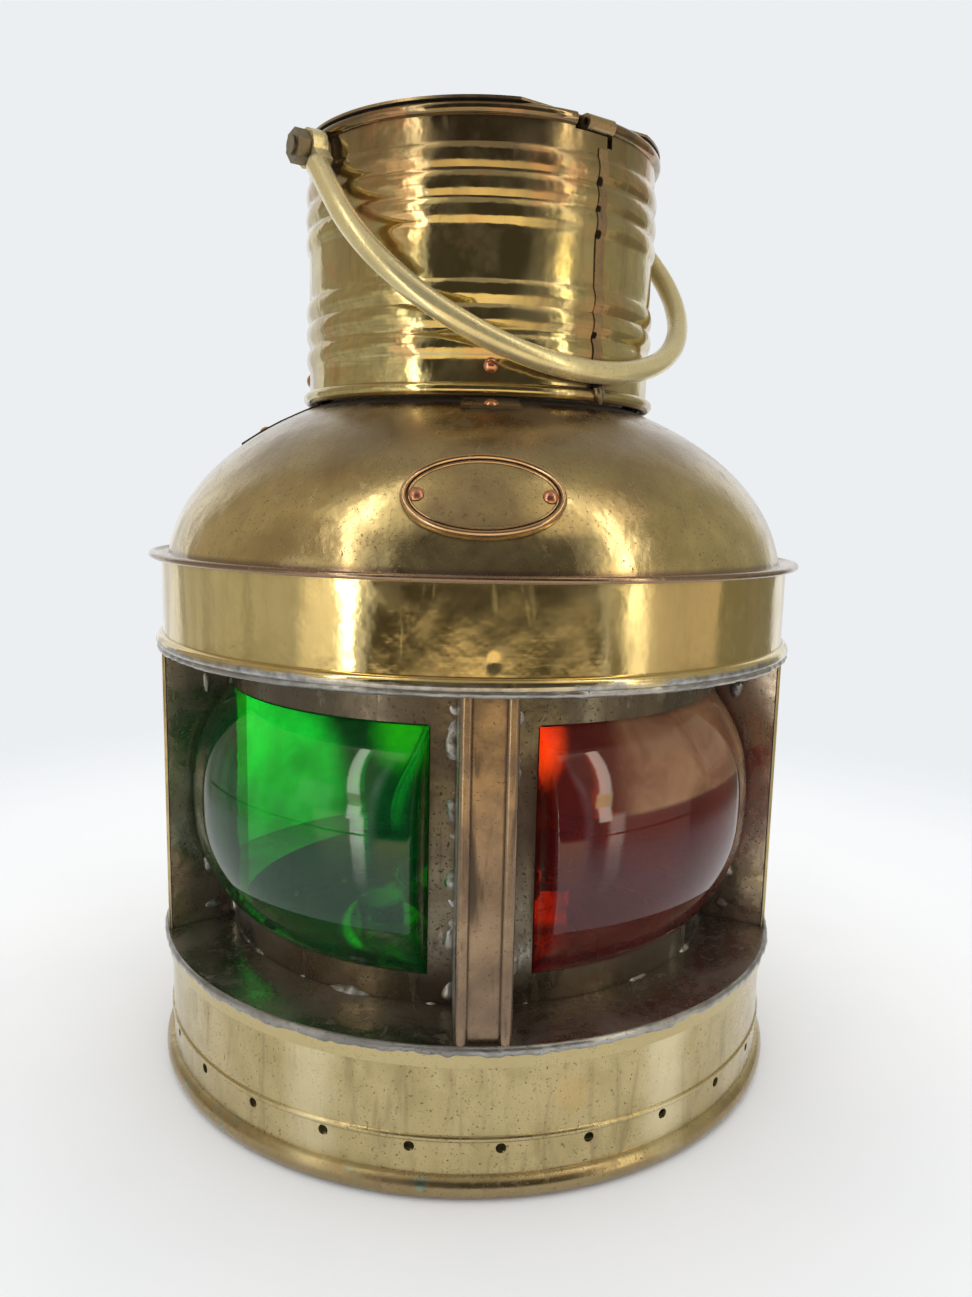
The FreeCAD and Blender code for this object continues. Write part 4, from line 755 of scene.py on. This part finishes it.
def make_band_solder():
    """Lumpy solder under the bead of the band, where it meets the ring that closes the windows."""
    count = 14
    middle_r = BAND_BEAD_OUTER_R - BAND_BEAD_R - 0.2
    middle_z = BAND_LOW - 0.1
    points = []
    for i in range(RING_COLUMNS):
        azimuth = 360.0 * i / RING_COLUMNS
        swell = noise.noise(polar(azimuth, 7.0, 1.0)) + 0.8 * noise.noise(polar(azimuth, 26.0, 5.0))
        for k in range(count):
            angle = 2.0 * math.pi * k / count
            wide = 1.75 + 0.45 * swell + 0.12 * noise.noise(polar(azimuth, 33.0, 9.0 * k))
            tall = 1.25 + 0.35 * swell
            r = middle_r + wide * math.cos(angle)
            points.append(polar(azimuth, r, middle_z + tall * math.sin(angle)))
    mesh_piece("band_solder_run", points, ring_faces(RING_COLUMNS, count), FINISH["solder"], "solder",
               replaces=["band_solder"], sharp=80.0)


def dimple(azimuth, r, z):
    """A small punched dimple above the pillar."""
    gap = math.hypot(math.radians(azimuth) * BAND_R if azimuth < 180 else 99.0, z - (BAND_LOW + 7.3))
    return -0.45 * math.exp(-(gap / 1.3) ** 2)


def make_band():
    """Bright band over the windows, beaded at its foot."""
    circle_r = BAND_BEAD_OUTER_R - BAND_BEAD_R
    bead_z = BAND_LOW + BAND_BEAD_R
    rise = meeting(BAND_R, circle_r, BAND_BEAD_R)
    turn = meeting(BAND_R - SHEET, circle_r, BAND_BEAD_R)
    outer = arc(circle_r, bead_z, BAND_BEAD_R, -88.0, rise, 18)
    inner = arc(circle_r, bead_z, BAND_BEAD_R, -92.0, -360.0 + turn, 18)
    above = straight(BAND_R, outer[-1][1], BAND_TOP, 0.9) + [(BAND_R, BAND_TOP)]
    outer += above
    inner += one_sheet_in(above)
    loose = uneven(0.14, 34.0, 26.0, 7.0)

    def shape(azimuth, r, z):
        return dimple(azimuth, r, z) + (loose(azimuth, r, z) if z > bead_z else 0.0)
    azimuths = [360.0 * i / RING_COLUMNS for i in range(RING_COLUMNS)]
    wall("band_shell", outer, inner, azimuths, FINISH["band"], "brass", wobble=shape,
         replaces=["band"])


def dome_r(z):
    return DOME_A * (1.0 - ((z - DOME_Z0) / DOME_B) ** DOME_N) ** (1.0 / DOME_N)


def dome_z(r, offset):
    return DOME_Z0 + (DOME_B + offset) * (1.0 - (r / (DOME_A + offset)) ** DOME_N) ** (1.0 / DOME_N)


def dome_curve(first_r, last_r, offset, steps):
    """Outline of the dome, or of a surface offset from it, evenly spaced along its bend."""
    a = DOME_A + offset
    first = math.acos(min(1.0, first_r / a))
    last = math.acos(min(1.0, last_r / a))
    radii = [a * math.cos(first + (last - first) * i / steps) for i in range(steps + 1)]
    return [(r, dome_z(r, offset)) for r in radii]


def make_dome():
    """Dome with its rolled flange, smooth where the oval plate and the chimney sit on it."""
    crown_r = CHIMNEY_R - 7.3 + FIT
    top = FLANGE_LOW + SHEET
    lip_r = FLANGE_R - FLANGE_EDGE_R
    foot_r = dome_r(top)
    outline = [(foot_r + d, top) for d in (0.35, 1.2, 2.6)]
    outline += arc(lip_r, FLANGE_LOW + FLANGE_EDGE_R, FLANGE_EDGE_R, 150.0, -90.0, 14)
    outline += [(BAND_R - 1.0, FLANGE_LOW), (foot_r - SHEET, FLANGE_LOW)]
    outline += dome_curve(foot_r - SHEET, crown_r, -SHEET, 40)
    outer = dome_curve(crown_r, foot_r, 0.0, 90)
    outline += outer[:-1] + [(foot_r + 0.06, top + 0.3)]
    loose = uneven(0.22, 42.0, 30.0, 12.0)

    def shape(azimuth, r, z):
        beside_plate = min(1.0, abs((azimuth + 180.0 - OVAL_AZ) % 360.0 - 180.0) / 26.0)
        over_flange = min(1.0, max(0.0, (z - top) / 6.0))
        under_chimney = min(1.0, max(0.0, (DOME_SMOOTH_Z - z) / 8.0))
        return loose(azimuth, r, z) * over_flange * under_chimney * beside_plate
    lathe("dome_shell", outline, FINISH["dome"], "brass", shape, replaces=["dome"])


def on_dome_plate(u, v, offset):
    """Place over the dome at u across and v up the oval plate, and the way out there."""
    r = dome_r(OVAL_Z)
    slope = math.atan2((r / DOME_A) ** (DOME_N - 1.0) / DOME_A,
                       ((OVAL_Z - DOME_Z0) / DOME_B) ** (DOME_N - 1.0) / DOME_B)
    radial = polar(OVAL_AZ, 1.0, 0.0)
    out = radial * math.sin(slope) + Vector((0.0, 0.0, math.cos(slope)))
    up = Vector((0.0, 0.0, math.sin(slope))) - radial * math.cos(slope)
    start = polar(OVAL_AZ, r, OVAL_Z) + polar(OVAL_AZ + 90.0, 1.0, 0.0) * u + up * v
    low_t, high_t = -12.0, 12.0
    for _ in range(40):
        middle = (low_t + high_t) / 2.0
        spot = start + out * middle
        reach = (math.hypot(spot.x, spot.y) / (DOME_A + offset)) ** DOME_N
        if reach + (max(0.0, spot.z - DOME_Z0) / (DOME_B + offset)) ** DOME_N < 1.0:
            low_t = middle
        else:
            high_t = middle
    return start + out * low_t, out


def make_plate_rim():
    """Rounded double lip round the oval plate."""
    count = 240
    steps = 14
    for word, inset, half, low_at, rise in (("outer", 0.75, 0.85, 1.0, 1.35),
                                            ("inner", 2.15, 0.4, 0.9, 0.65)):
        ring = [on_dome_plate((OVAL_WIDE - inset) * math.cos(2.0 * math.pi * i / count),
                              (OVAL_TALL - inset) * math.sin(2.0 * math.pi * i / count), low_at)
                for i in range(count)]
        points = []
        for i, (spot, out) in enumerate(ring):
            along = (ring[(i + 1) % count][0] - ring[i - 1][0]).normalized()
            across = along.cross(out)
            for k in range(steps + 1):
                angle = math.pi * k / steps
                points.append(spot + across * (half * math.cos(angle)) + out * (rise * math.sin(angle)))
        mesh_piece("plate_rim_" + word, points, ring_faces(count, steps + 1), FINISH["rim"], "brass",
                   sharp=60.0)


def chimney_outlines():
    """Outer and inner outline of the chimney, point for point, and where its plain wall ends."""
    inner_r = CHIMNEY_R - SHEET
    outer = arc(CHIMNEY_R, CHIMNEY_BEAD_Z, CHIMNEY_BEAD_R, -88.0, 90.0, 16)
    reach = meeting(inner_r, CHIMNEY_R, CHIMNEY_BEAD_R)
    inner = arc(CHIMNEY_R, CHIMNEY_BEAD_Z, CHIMNEY_BEAD_R, -92.0, -360.0 + reach, 16)
    outer[-1] = (CHIMNEY_R, outer[-1][1])
    z = outer[-1][1]
    above = []
    for centre in LOW_SWAGES + HIGH_SWAGES:
        rib = swage(CHIMNEY_R, centre, SWAGE_HALF, SWAGE_RISE)
        if centre - SWAGE_HALF - z > 0.4:
            above += straight(CHIMNEY_R, z, centre - SWAGE_HALF, 1.5) + rib
        else:
            above += rib[1:]
        z = centre + SWAGE_HALF
    rim_low = RIM_Z - RIM_BEAD_R
    above += [(CHIMNEY_R, z + (rim_low - z) * i / 9) for i in range(1, 9)] + [(CHIMNEY_R, rim_low)]
    outer += above
    inner += one_sheet_in(above)
    plain = len(outer)
    start = meeting(CHIMNEY_R, RIM_CIRCLE_R, RIM_BEAD_R)
    turn = meeting(inner_r, RIM_CIRCLE_R, RIM_BEAD_R)
    outer += arc(RIM_CIRCLE_R, RIM_Z, RIM_BEAD_R, -start, 90.0, 14)
    inner += arc(RIM_CIRCLE_R, RIM_Z, RIM_BEAD_R, -turn, -269.0, 14)
    return outer, inner, plain


def make_chimney():
    """Chimney, its rim open under the lid's hinge, with a deeper notch at one side of the gap."""
    outer, inner, plain = chimney_outlines()
    gap_half = 7.1
    gap_low = RIM_Z - 2.4
    notch_low = RIM_Z - 5.15
    notch_az = 36.77
    marks = sorted({LID_AZ - gap_half, LID_AZ + gap_half, notch_az})
    azimuths = []
    spacing = 0.45
    for first, last in zip(marks, marks[1:] + [marks[0] + 360.0]):
        count = round((last - first) / spacing)
        azimuths += [first + (last - first) * i / count for i in range(count)]

    def keep(i, j):
        azimuth = azimuths[i] + 0.01
        z = (outer[j][1] + outer[j + 1][1]) / 2.0
        in_gap = LID_AZ - gap_half < azimuth < LID_AZ + gap_half
        in_notch = notch_az < azimuth < LID_AZ + gap_half
        return not (in_gap and (z > gap_low or j >= plain) or in_notch and z > notch_low)
    wall("chimney_shell", outer, inner, azimuths, FINISH["chimney"], "brass", keep=keep,
         wobble=uneven(0.16, 22.0, 18.0, 17.0), replaces=["chimney"])


def make_seam():
    """Lapped edge of the chimney sheet, with its solder at the foot."""
    outer, _, plain = chimney_outlines()
    first = next(i for i, (_, z) in enumerate(outer) if z > CHIMNEY_BEAD_Z + CHIMNEY_BEAD_R - 0.01)
    rows = [(r, z) for r, z in outer[first:plain] if z < RIM_Z - 5.3]
    face = [(r + 0.22, z) for r, z in rows]
    azimuths = [33.3 + 0.35 * i for i in range(11)]
    wall("chimney_seam", face, rows, azimuths, FINISH["seam"], "brass")
    radii = [0.6, 1.6, 1.2, 1.6, 1.9, 1.6, 1.3, 0.5]
    drip = [polar(35.2 + 0.4 * math.sin(i), CHIMNEY_R + 0.4 + 1.7 * max(0.0, math.sin(i / 3.2 - 0.4)),
                  212.0 - 1.25 * i) for i in range(len(radii))]
    tube("chimney_drip", drip, radii, FINISH["bolt"], "solder", 0.8, 0.5)


# ---- window glasses
def glass_shape(across, up):
    """Radius of the bulged glass at a share of its width and height, both from -1 to 1."""
    wide = max(0.0, 1.0 - abs(across) ** 60) ** 0.5
    tall = max(0.0, 1.0 - abs(up) ** 2.5)
    return GLASS_START_R + GLASS_BULGE * wide * tall


def make_lens(side, name, node, material, slot):
    """Pressed glass bulging out of its frame in both directions, with its flange behind the frame."""
    middle_az = (GLASS_FIRST_AZ + GLASS_LAST_AZ) / 2.0
    half_az = (GLASS_LAST_AZ - GLASS_FIRST_AZ) / 2.0
    middle = (GLASS_LOW + GLASS_HIGH) / 2.0
    half = (GLASS_HIGH - GLASS_LOW) / 2.0
    flange_r = FRAME_R - SHEET - 0.3
    flange = 1.6
    thickness = 3.2

    def stations(steps):
        inside = [math.sin(math.pi / 2.0 * (2.0 * i / steps - 1.0)) for i in range(steps + 1)]
        return [None] + inside + [None]
    across = stations(120)
    up = stations(90)

    def place(i, j, inset):
        s = across[i] if across[i] is not None else (-1.0 if i == 0 else 1.0)
        t = up[j] if up[j] is not None else (-1.0 if j == 0 else 1.0)
        azimuth = middle_az + s * half_az
        z = middle + t * half
        rim = across[i] is None or up[j] is None
        if across[i] is None:
            azimuth += math.copysign(math.degrees(flange / FRAME_R), s)
        if up[j] is None:
            z += math.copysign(flange, t)
        r = flange_r if rim else glass_shape(s, t)
        return polar(side * azimuth, r - inset, z)
    points = [place(i, j, inset) for inset in (0.0, thickness)
              for i in range(len(across)) for j in range(len(up))]
    rows = len(up)
    back = len(across) * rows
    faces = []
    for i in range(len(across) - 1):
        for j in range(rows - 1):
            a = i * rows + j
            b = a + rows
            faces.append((a, b, b + 1, a + 1))
            faces.append((back + a, back + a + 1, back + b + 1, back + b))
    loop = list(range(rows))
    loop += [i * rows + rows - 1 for i in range(1, len(across))]
    loop += [(len(across) - 1) * rows + j for j in range(rows - 2, -1, -1)]
    loop += [i * rows for i in range(len(across) - 2, 0, -1)]
    for a, b in zip(loop, loop[1:] + loop[:1]):
        faces.append((a, b, back + b, back + a))
    mesh_piece(name, points, faces, material, slot, replaces=[node], sharp=60.0)


# ---- solder on the window joints
def bead(name, stations, width, height, sunk, gaps):
    """Uneven flat bead of solder; a station is its place, the way across and the way out."""
    count = 11
    points = []
    last = len(stations) - 1
    for i, (place, across, out) in enumerate(stations):
        end = min(1.0, min(i, last - i) / 3.0 + 0.05)
        slow = noise.noise(place / 8.0 + Vector((3.0, 1.0, 5.0)))
        quick = noise.noise(place / 2.6)
        wide = width * max(0.25, 1.0 + 0.8 * slow + 0.35 * quick) * (0.4 + 0.6 * end)
        tall = height * max(0.0, 1.0 - gaps + 1.7 * slow + 0.5 * quick) * end
        drift = 0.35 * width * noise.noise(place / 5.0 + Vector((9.0, 2.0, 4.0)))
        for k in range(count):
            angle = math.pi * k / (count - 1)
            lump = 1.0 + 0.25 * noise.noise(place / 1.4 + across * 2.0 * math.cos(angle))
            spot = place + across * (drift + wide * math.cos(angle))
            points.append(spot + out * (tall * lump * math.sin(angle) - sunk))
    faces = strip_faces(last + 1, count)
    faces.append(tuple(range(count)))
    faces.append(tuple(reversed(range(last * count, last * count + count))))
    mesh_piece(name, points, faces, FINISH["solder"], "solder", sharp=80.0)


def upright(azimuth, r, first, last, tilt):
    """Stations up a wall; tilt turns the way out, in degrees, about the upright."""
    out = polar(azimuth + tilt, 1.0, 0.0)
    across = polar(azimuth + tilt + 90.0, 1.0, 0.0)
    count = round((last - first) / 0.6)
    return [(polar(azimuth, r, first + (last - first) * i / count), across, out) for i in range(count + 1)]


def corner_round(r, z, first, last):
    """Stations round the inner corner of the sill shelf."""
    count = round(abs(last - first) / 0.5)
    found = []
    for i in range(count + 1):
        azimuth = first + (last - first) * i / count
        radial = polar(azimuth, 1.0, 0.0)
        out = (radial + Vector((0.0, 0.0, 1.0))).normalized()
        across = (Vector((0.0, 0.0, 1.0)) - radial).normalized()
        found.append((polar(azimuth, r, z), across, out))
    return found


def make_window_solder():
    """Solder along the pillar, the side plates and the sill, with blobs on the side plates."""
    for side, word in ((-1, "left"), (1, "right")):
        tall = (SILL_TOP + 0.6, SOFFIT_LOW - 0.6)
        bead("pillar_solder_" + word, upright(side * 6.2, FRAME_R, *tall, 8.0 * side), 1.5, 1.1, 0.45, 0.7)
        bead("plate_solder_" + word, upright(side * 76.3, FRAME_R, *tall, side * -42.0), 1.5, 1.3, 0.3, 0.6)
        bead("sill_corner_" + word, corner_round(FRAME_R, SILL_TOP, side * 8.0, side * 75.5), 1.5, 1.2,
             0.35, 0.75)
        for z, tall, wide in ((60.0, 9.0, 1.9), (119.0, 8.0, 1.5), (47.0, 4.0, 2.6)):
            face = upright(side * 75.55, FRAME_R + 7.5, z - tall / 2.0, z + tall / 2.0, side * -88.0)
            bead("plate_blob_%s_%d" % (word, z), face, wide, 1.5, 0.35, 0.0)


# ---- floor, light and camera
FLOOR_REACH = 0.62
BACKDROP = (0.835, 0.862, 0.885)


def make_floor():
    """Pale round floor that fades out into the backdrop."""
    rings = 40
    sectors = 96
    points = [(0.0, 0.0, 0.0)]
    for j in range(1, rings + 1):
        radius = FLOOR_REACH * (j / rings) ** 1.3
        for i in range(sectors):
            angle = 2.0 * math.pi * i / sectors
            points.append((radius * math.cos(angle), radius * math.sin(angle), 0.0))
    faces = [(0, 1 + i, 1 + (i + 1) % sectors) for i in range(sectors)]
    for j in range(rings - 1):
        for i in range(sectors):
            a = 1 + j * sectors
            n = (i + 1) % sectors
            faces.append((a + i, a + sectors + i, a + sectors + n, a + n))
    mesh = bpy.data.meshes.new("floor")
    mesh.from_pydata(points, [], faces)
    floor = new_object("floor", mesh)
    p = new_paint("floor_white")
    reach = p.add("VectorMath", {0: p.where}, operation="LENGTH").outputs["Value"]
    fade = p.between(reach, 0.17, 0.50)
    tone = p.mix(p.mask(14.0, 0.3, 0.7, detail=2.0), (0.93, 0.935, 0.94), (0.91, 0.92, 0.93))
    # Dark where it is seen through a glass and the vents, or they shine like lamps.
    through = p.math("MINIMUM", p.add("LightPath").outputs["Transparent Depth"], 1.0)
    tone = p.mix(through, tone, (0.04, 0.04, 0.035))
    near = p.add("BsdfDiffuse", {"Color": tone}).outputs[0]
    clear = p.add("BsdfTransparent").outputs[0]
    mesh.materials.append(p.finish(p.blend(fade, near, clear)))


# Panels of the tent: first and last azimuth, lowest and highest angle, softness, colour.
PANELS = (
    (-38.0, 42.0, -11.5, 52.0, 2.5, (0.055, 0.046, 0.034)),
    (-38.0, 42.0, -40.0, -11.5, 2.5, (1.35, 1.05, 0.6)),
    (-62.0, -47.0, -40.0, 1.0, 2.0, (1.15, 1.05, 0.86)),
    (-47.5, -42.0, -40.0, 1.0, 0.7, (5.3, 5.1, 4.7)),
    (51.5, 58.5, -40.0, 1.0, 1.5, (2.6, 2.4, 2.0)),
    (58.5, 91.0, -40.0, 1.0, 2.0, (0.60, 0.50, 0.38)),
    (-72.0, -56.0, 2.0, 17.0, 1.0, (0.80, 0.80, 0.68)),
    (-125.0, -41.0, -10.3, -9.3, 1.0, (0.22, 0.18, 0.11)),
    (44.0, 128.0, -10.3, -9.3, 1.0, (0.20, 0.16, 0.10)),
    (60.0, 80.0, 1.0, 17.0, 2.0, (0.52, 0.48, 0.38)),
    (-32.0, 28.0, 47.0, 90.0, 9.0, (0.40, 0.35, 0.30)),
    (-78.0, -34.0, 42.0, 66.0, 6.0, (0.95, 0.88, 0.70)),
    (30.0, 84.0, 42.0, 66.0, 6.0, (0.85, 0.74, 0.55)),
)
# Tube lamps that lean outwards: side, first and last azimuth, lowest and highest angle, colour.
TUBE_LAMPS = (
    (-1.0, 43.5, 49.0, -2.0, 8.0, (5.8, 5.7, 5.2)),
    (-1.0, 43.5, 49.0, 7.0, 16.0, (2.4, 2.2, 1.6)),
    (-1.0, 43.5, 49.0, 15.0, 76.0, (5.6, 5.4, 4.7)),
    (1.0, 47.0, 52.5, -2.0, 8.0, (5.4, 5.0, 4.2)),
    (1.0, 46.0, 53.0, 7.0, 16.0, (4.8, 4.0, 1.9)),
    (1.0, 47.0, 52.5, 15.0, 76.0, (5.4, 5.0, 4.2)),
)


def window(p, value, first, last, soft):
    """1 between two values, with soft ends."""
    rise = p.between(value, first - soft, first + soft)
    fall = p.between(value, last + soft, last - soft)
    return p.times(rise, fall)


def tent_colour(p, turn, lift):
    """What the metal and the glass mirror: walls, panels, tube lamps and a dull top."""
    risen = p.between(lift, -1.0, 6.0)
    colour = p.mix(p.between(lift, 22.0, 48.0), (0.96, 0.97, 0.98), (0.50, 0.49, 0.46))
    left = p.mix(risen, (0.54, 0.53, 0.46), (0.44, 0.38, 0.28))
    right = p.mix(risen, (0.24, 0.22, 0.15), (0.42, 0.40, 0.30))
    colour = p.mix(window(p, turn, -128.0, -41.0, 1.5), colour, left)
    colour = p.mix(window(p, turn, 44.0, 133.0, 1.5), colour, right)
    streak = p.add("Mapping", {"Vector": p.where, "Scale": (11.0, 11.0, 0.8)}).outputs[0]
    streak = p.add("TexNoise", {"Vector": streak, "Scale": 1.0, "Detail": 3.0}).outputs["Fac"]
    colour = p.mix(p.between(streak, 0.45, 0.62, 0.0, 0.4), colour, (0.22, 0.19, 0.14))
    for first, last, bottom, top, soft, tone in PANELS:
        fade = min(2.0, 0.35 * (top - bottom))
        panel = p.times(window(p, turn, first, last, soft), window(p, lift, bottom, top, fade))
        colour = p.mix(panel, colour, tone)
    lean = p.times(p.math("MAXIMUM", p.math("SUBTRACT", lift, 8.0), 0.0), 0.27)
    for side, first, last, bottom, top, tone in TUBE_LAMPS:
        bent = p.math("SUBTRACT", p.times(turn, side), lean)
        lamp = p.times(window(p, bent, first, last, 0.8), window(p, lift, bottom, top, 0.7))
        colour = p.mix(lamp, colour, tone)
    return p.mix(p.between(lift, 66.0, 84.0), colour, (0.40, 0.36, 0.31))


def make_world():
    """Light tent: soft white light all round, with its own panels and lamps for reflections."""
    p = Paint(bpy.data.worlds.new("tent"), "OutputWorld", "Generated")
    turn, z = p.around()
    lift = p.math("DEGREES", p.math("ARCSINE", z))
    soft = p.mix(p.between(lift, 0.0, 60.0), (1.00, 1.01, 1.02), (1.16, 1.16, 1.16))
    light, tent, seen = (p.add("Background", {"Color": colour, "Strength": 1.0}).outputs[0]
                         for colour in (soft, tent_colour(p, turn, lift), BACKDROP))
    rays = p.add("LightPath").outputs
    light = p.blend(rays["Is Glossy Ray"], light, tent)
    shown = p.blend(rays["Is Camera Ray"], light, seen)
    bpy.context.scene.world = p.finish(shown)


def lit_walls():
    """The inner faces the inside lamps may light: the back wall and the door."""
    walls = bpy.data.collections.new("lit_walls")
    for name in ("back_wall", "door"):
        walls.objects.link(nodes[name])
    return walls


def inside_light(name, walls, place, aim, watts, colour, wide):
    """A small lamp inside the lantern that lights the wall behind a window, and nothing else."""
    data = bpy.data.lights.new(name, "SPOT")
    data.energy = watts
    data.color = colour
    data.spot_size = math.radians(wide)
    data.spot_blend = 0.25
    data.shadow_soft_size = 6.0 * MM
    lamp = new_object(name, data)
    lamp.location = Vector(place) * MM
    way = Vector(aim) - Vector(place)
    lamp.rotation_mode = "QUATERNION"
    lamp.rotation_quaternion = way.to_track_quat("-Z", "Y")
    lamp.visible_glossy = False
    lamp.light_linking.receiver_collection = walls


CAMERA_AT = Vector((-14.9, -329.1, 177.4))
CAMERA_PITCH = 8.65
CAMERA_ROLL = 1.26
CAMERA_YAW = -3.345
CAMERA_LENS = 27.82


def make_camera():
    """The photo's view: a little turned, pitched and rolled."""
    data = bpy.data.cameras.new("camera")
    data.sensor_width = 36.0
    data.lens = CAMERA_LENS
    data.clip_start = 0.01
    camera = new_object("camera", data)
    pitch = math.radians(CAMERA_PITCH)
    roll = math.radians(CAMERA_ROLL)
    turn = Matrix.Rotation(math.radians(CAMERA_YAW), 3, "Z")
    ahead = turn @ Vector((0.0, math.cos(pitch), -math.sin(pitch)))
    right = turn @ Vector((1.0, 0.0, 0.0))
    up = right.cross(ahead)
    across = right * math.cos(roll) + up * math.sin(roll)
    upward = up * math.cos(roll) - right * math.sin(roll)
    place = Matrix((across, upward, -ahead)).transposed().to_4x4()
    place.translation = CAMERA_AT * MM
    camera.matrix_world = place
    bpy.context.scene.camera = camera


# ---- build
paint_cad_nodes()
make_drum()
make_sill_solder()
make_band()
make_band_solder()
make_dome()
make_chimney()
make_seam()
make_plate_rim()
make_lens(-1, "glass_green", "lens_green", FINISH["green"], "green_glass")
make_lens(1, "glass_red", "lens_red", FINISH["red"], "red_glass")
make_window_solder()
make_floor()
make_world()
make_camera()
walls = lit_walls()
inside_light("light_green", walls, (-38, 4, 124), polar(-124, 97, 70), 0.85, (0.9, 1.0, 0.8), 52.0)
inside_light("light_green_edge", walls, (-20, 30, 110), (-25, 93, 76), 0.8, (1.0, 0.46, 0.0), 20.0)
inside_light("light_red", walls, (22, 40, 112), (31, 92, 72), 1.5, (1.0, 0.62, 0.2), 21.0)
bpy.context.scene.view_settings.view_transform = "Standard"
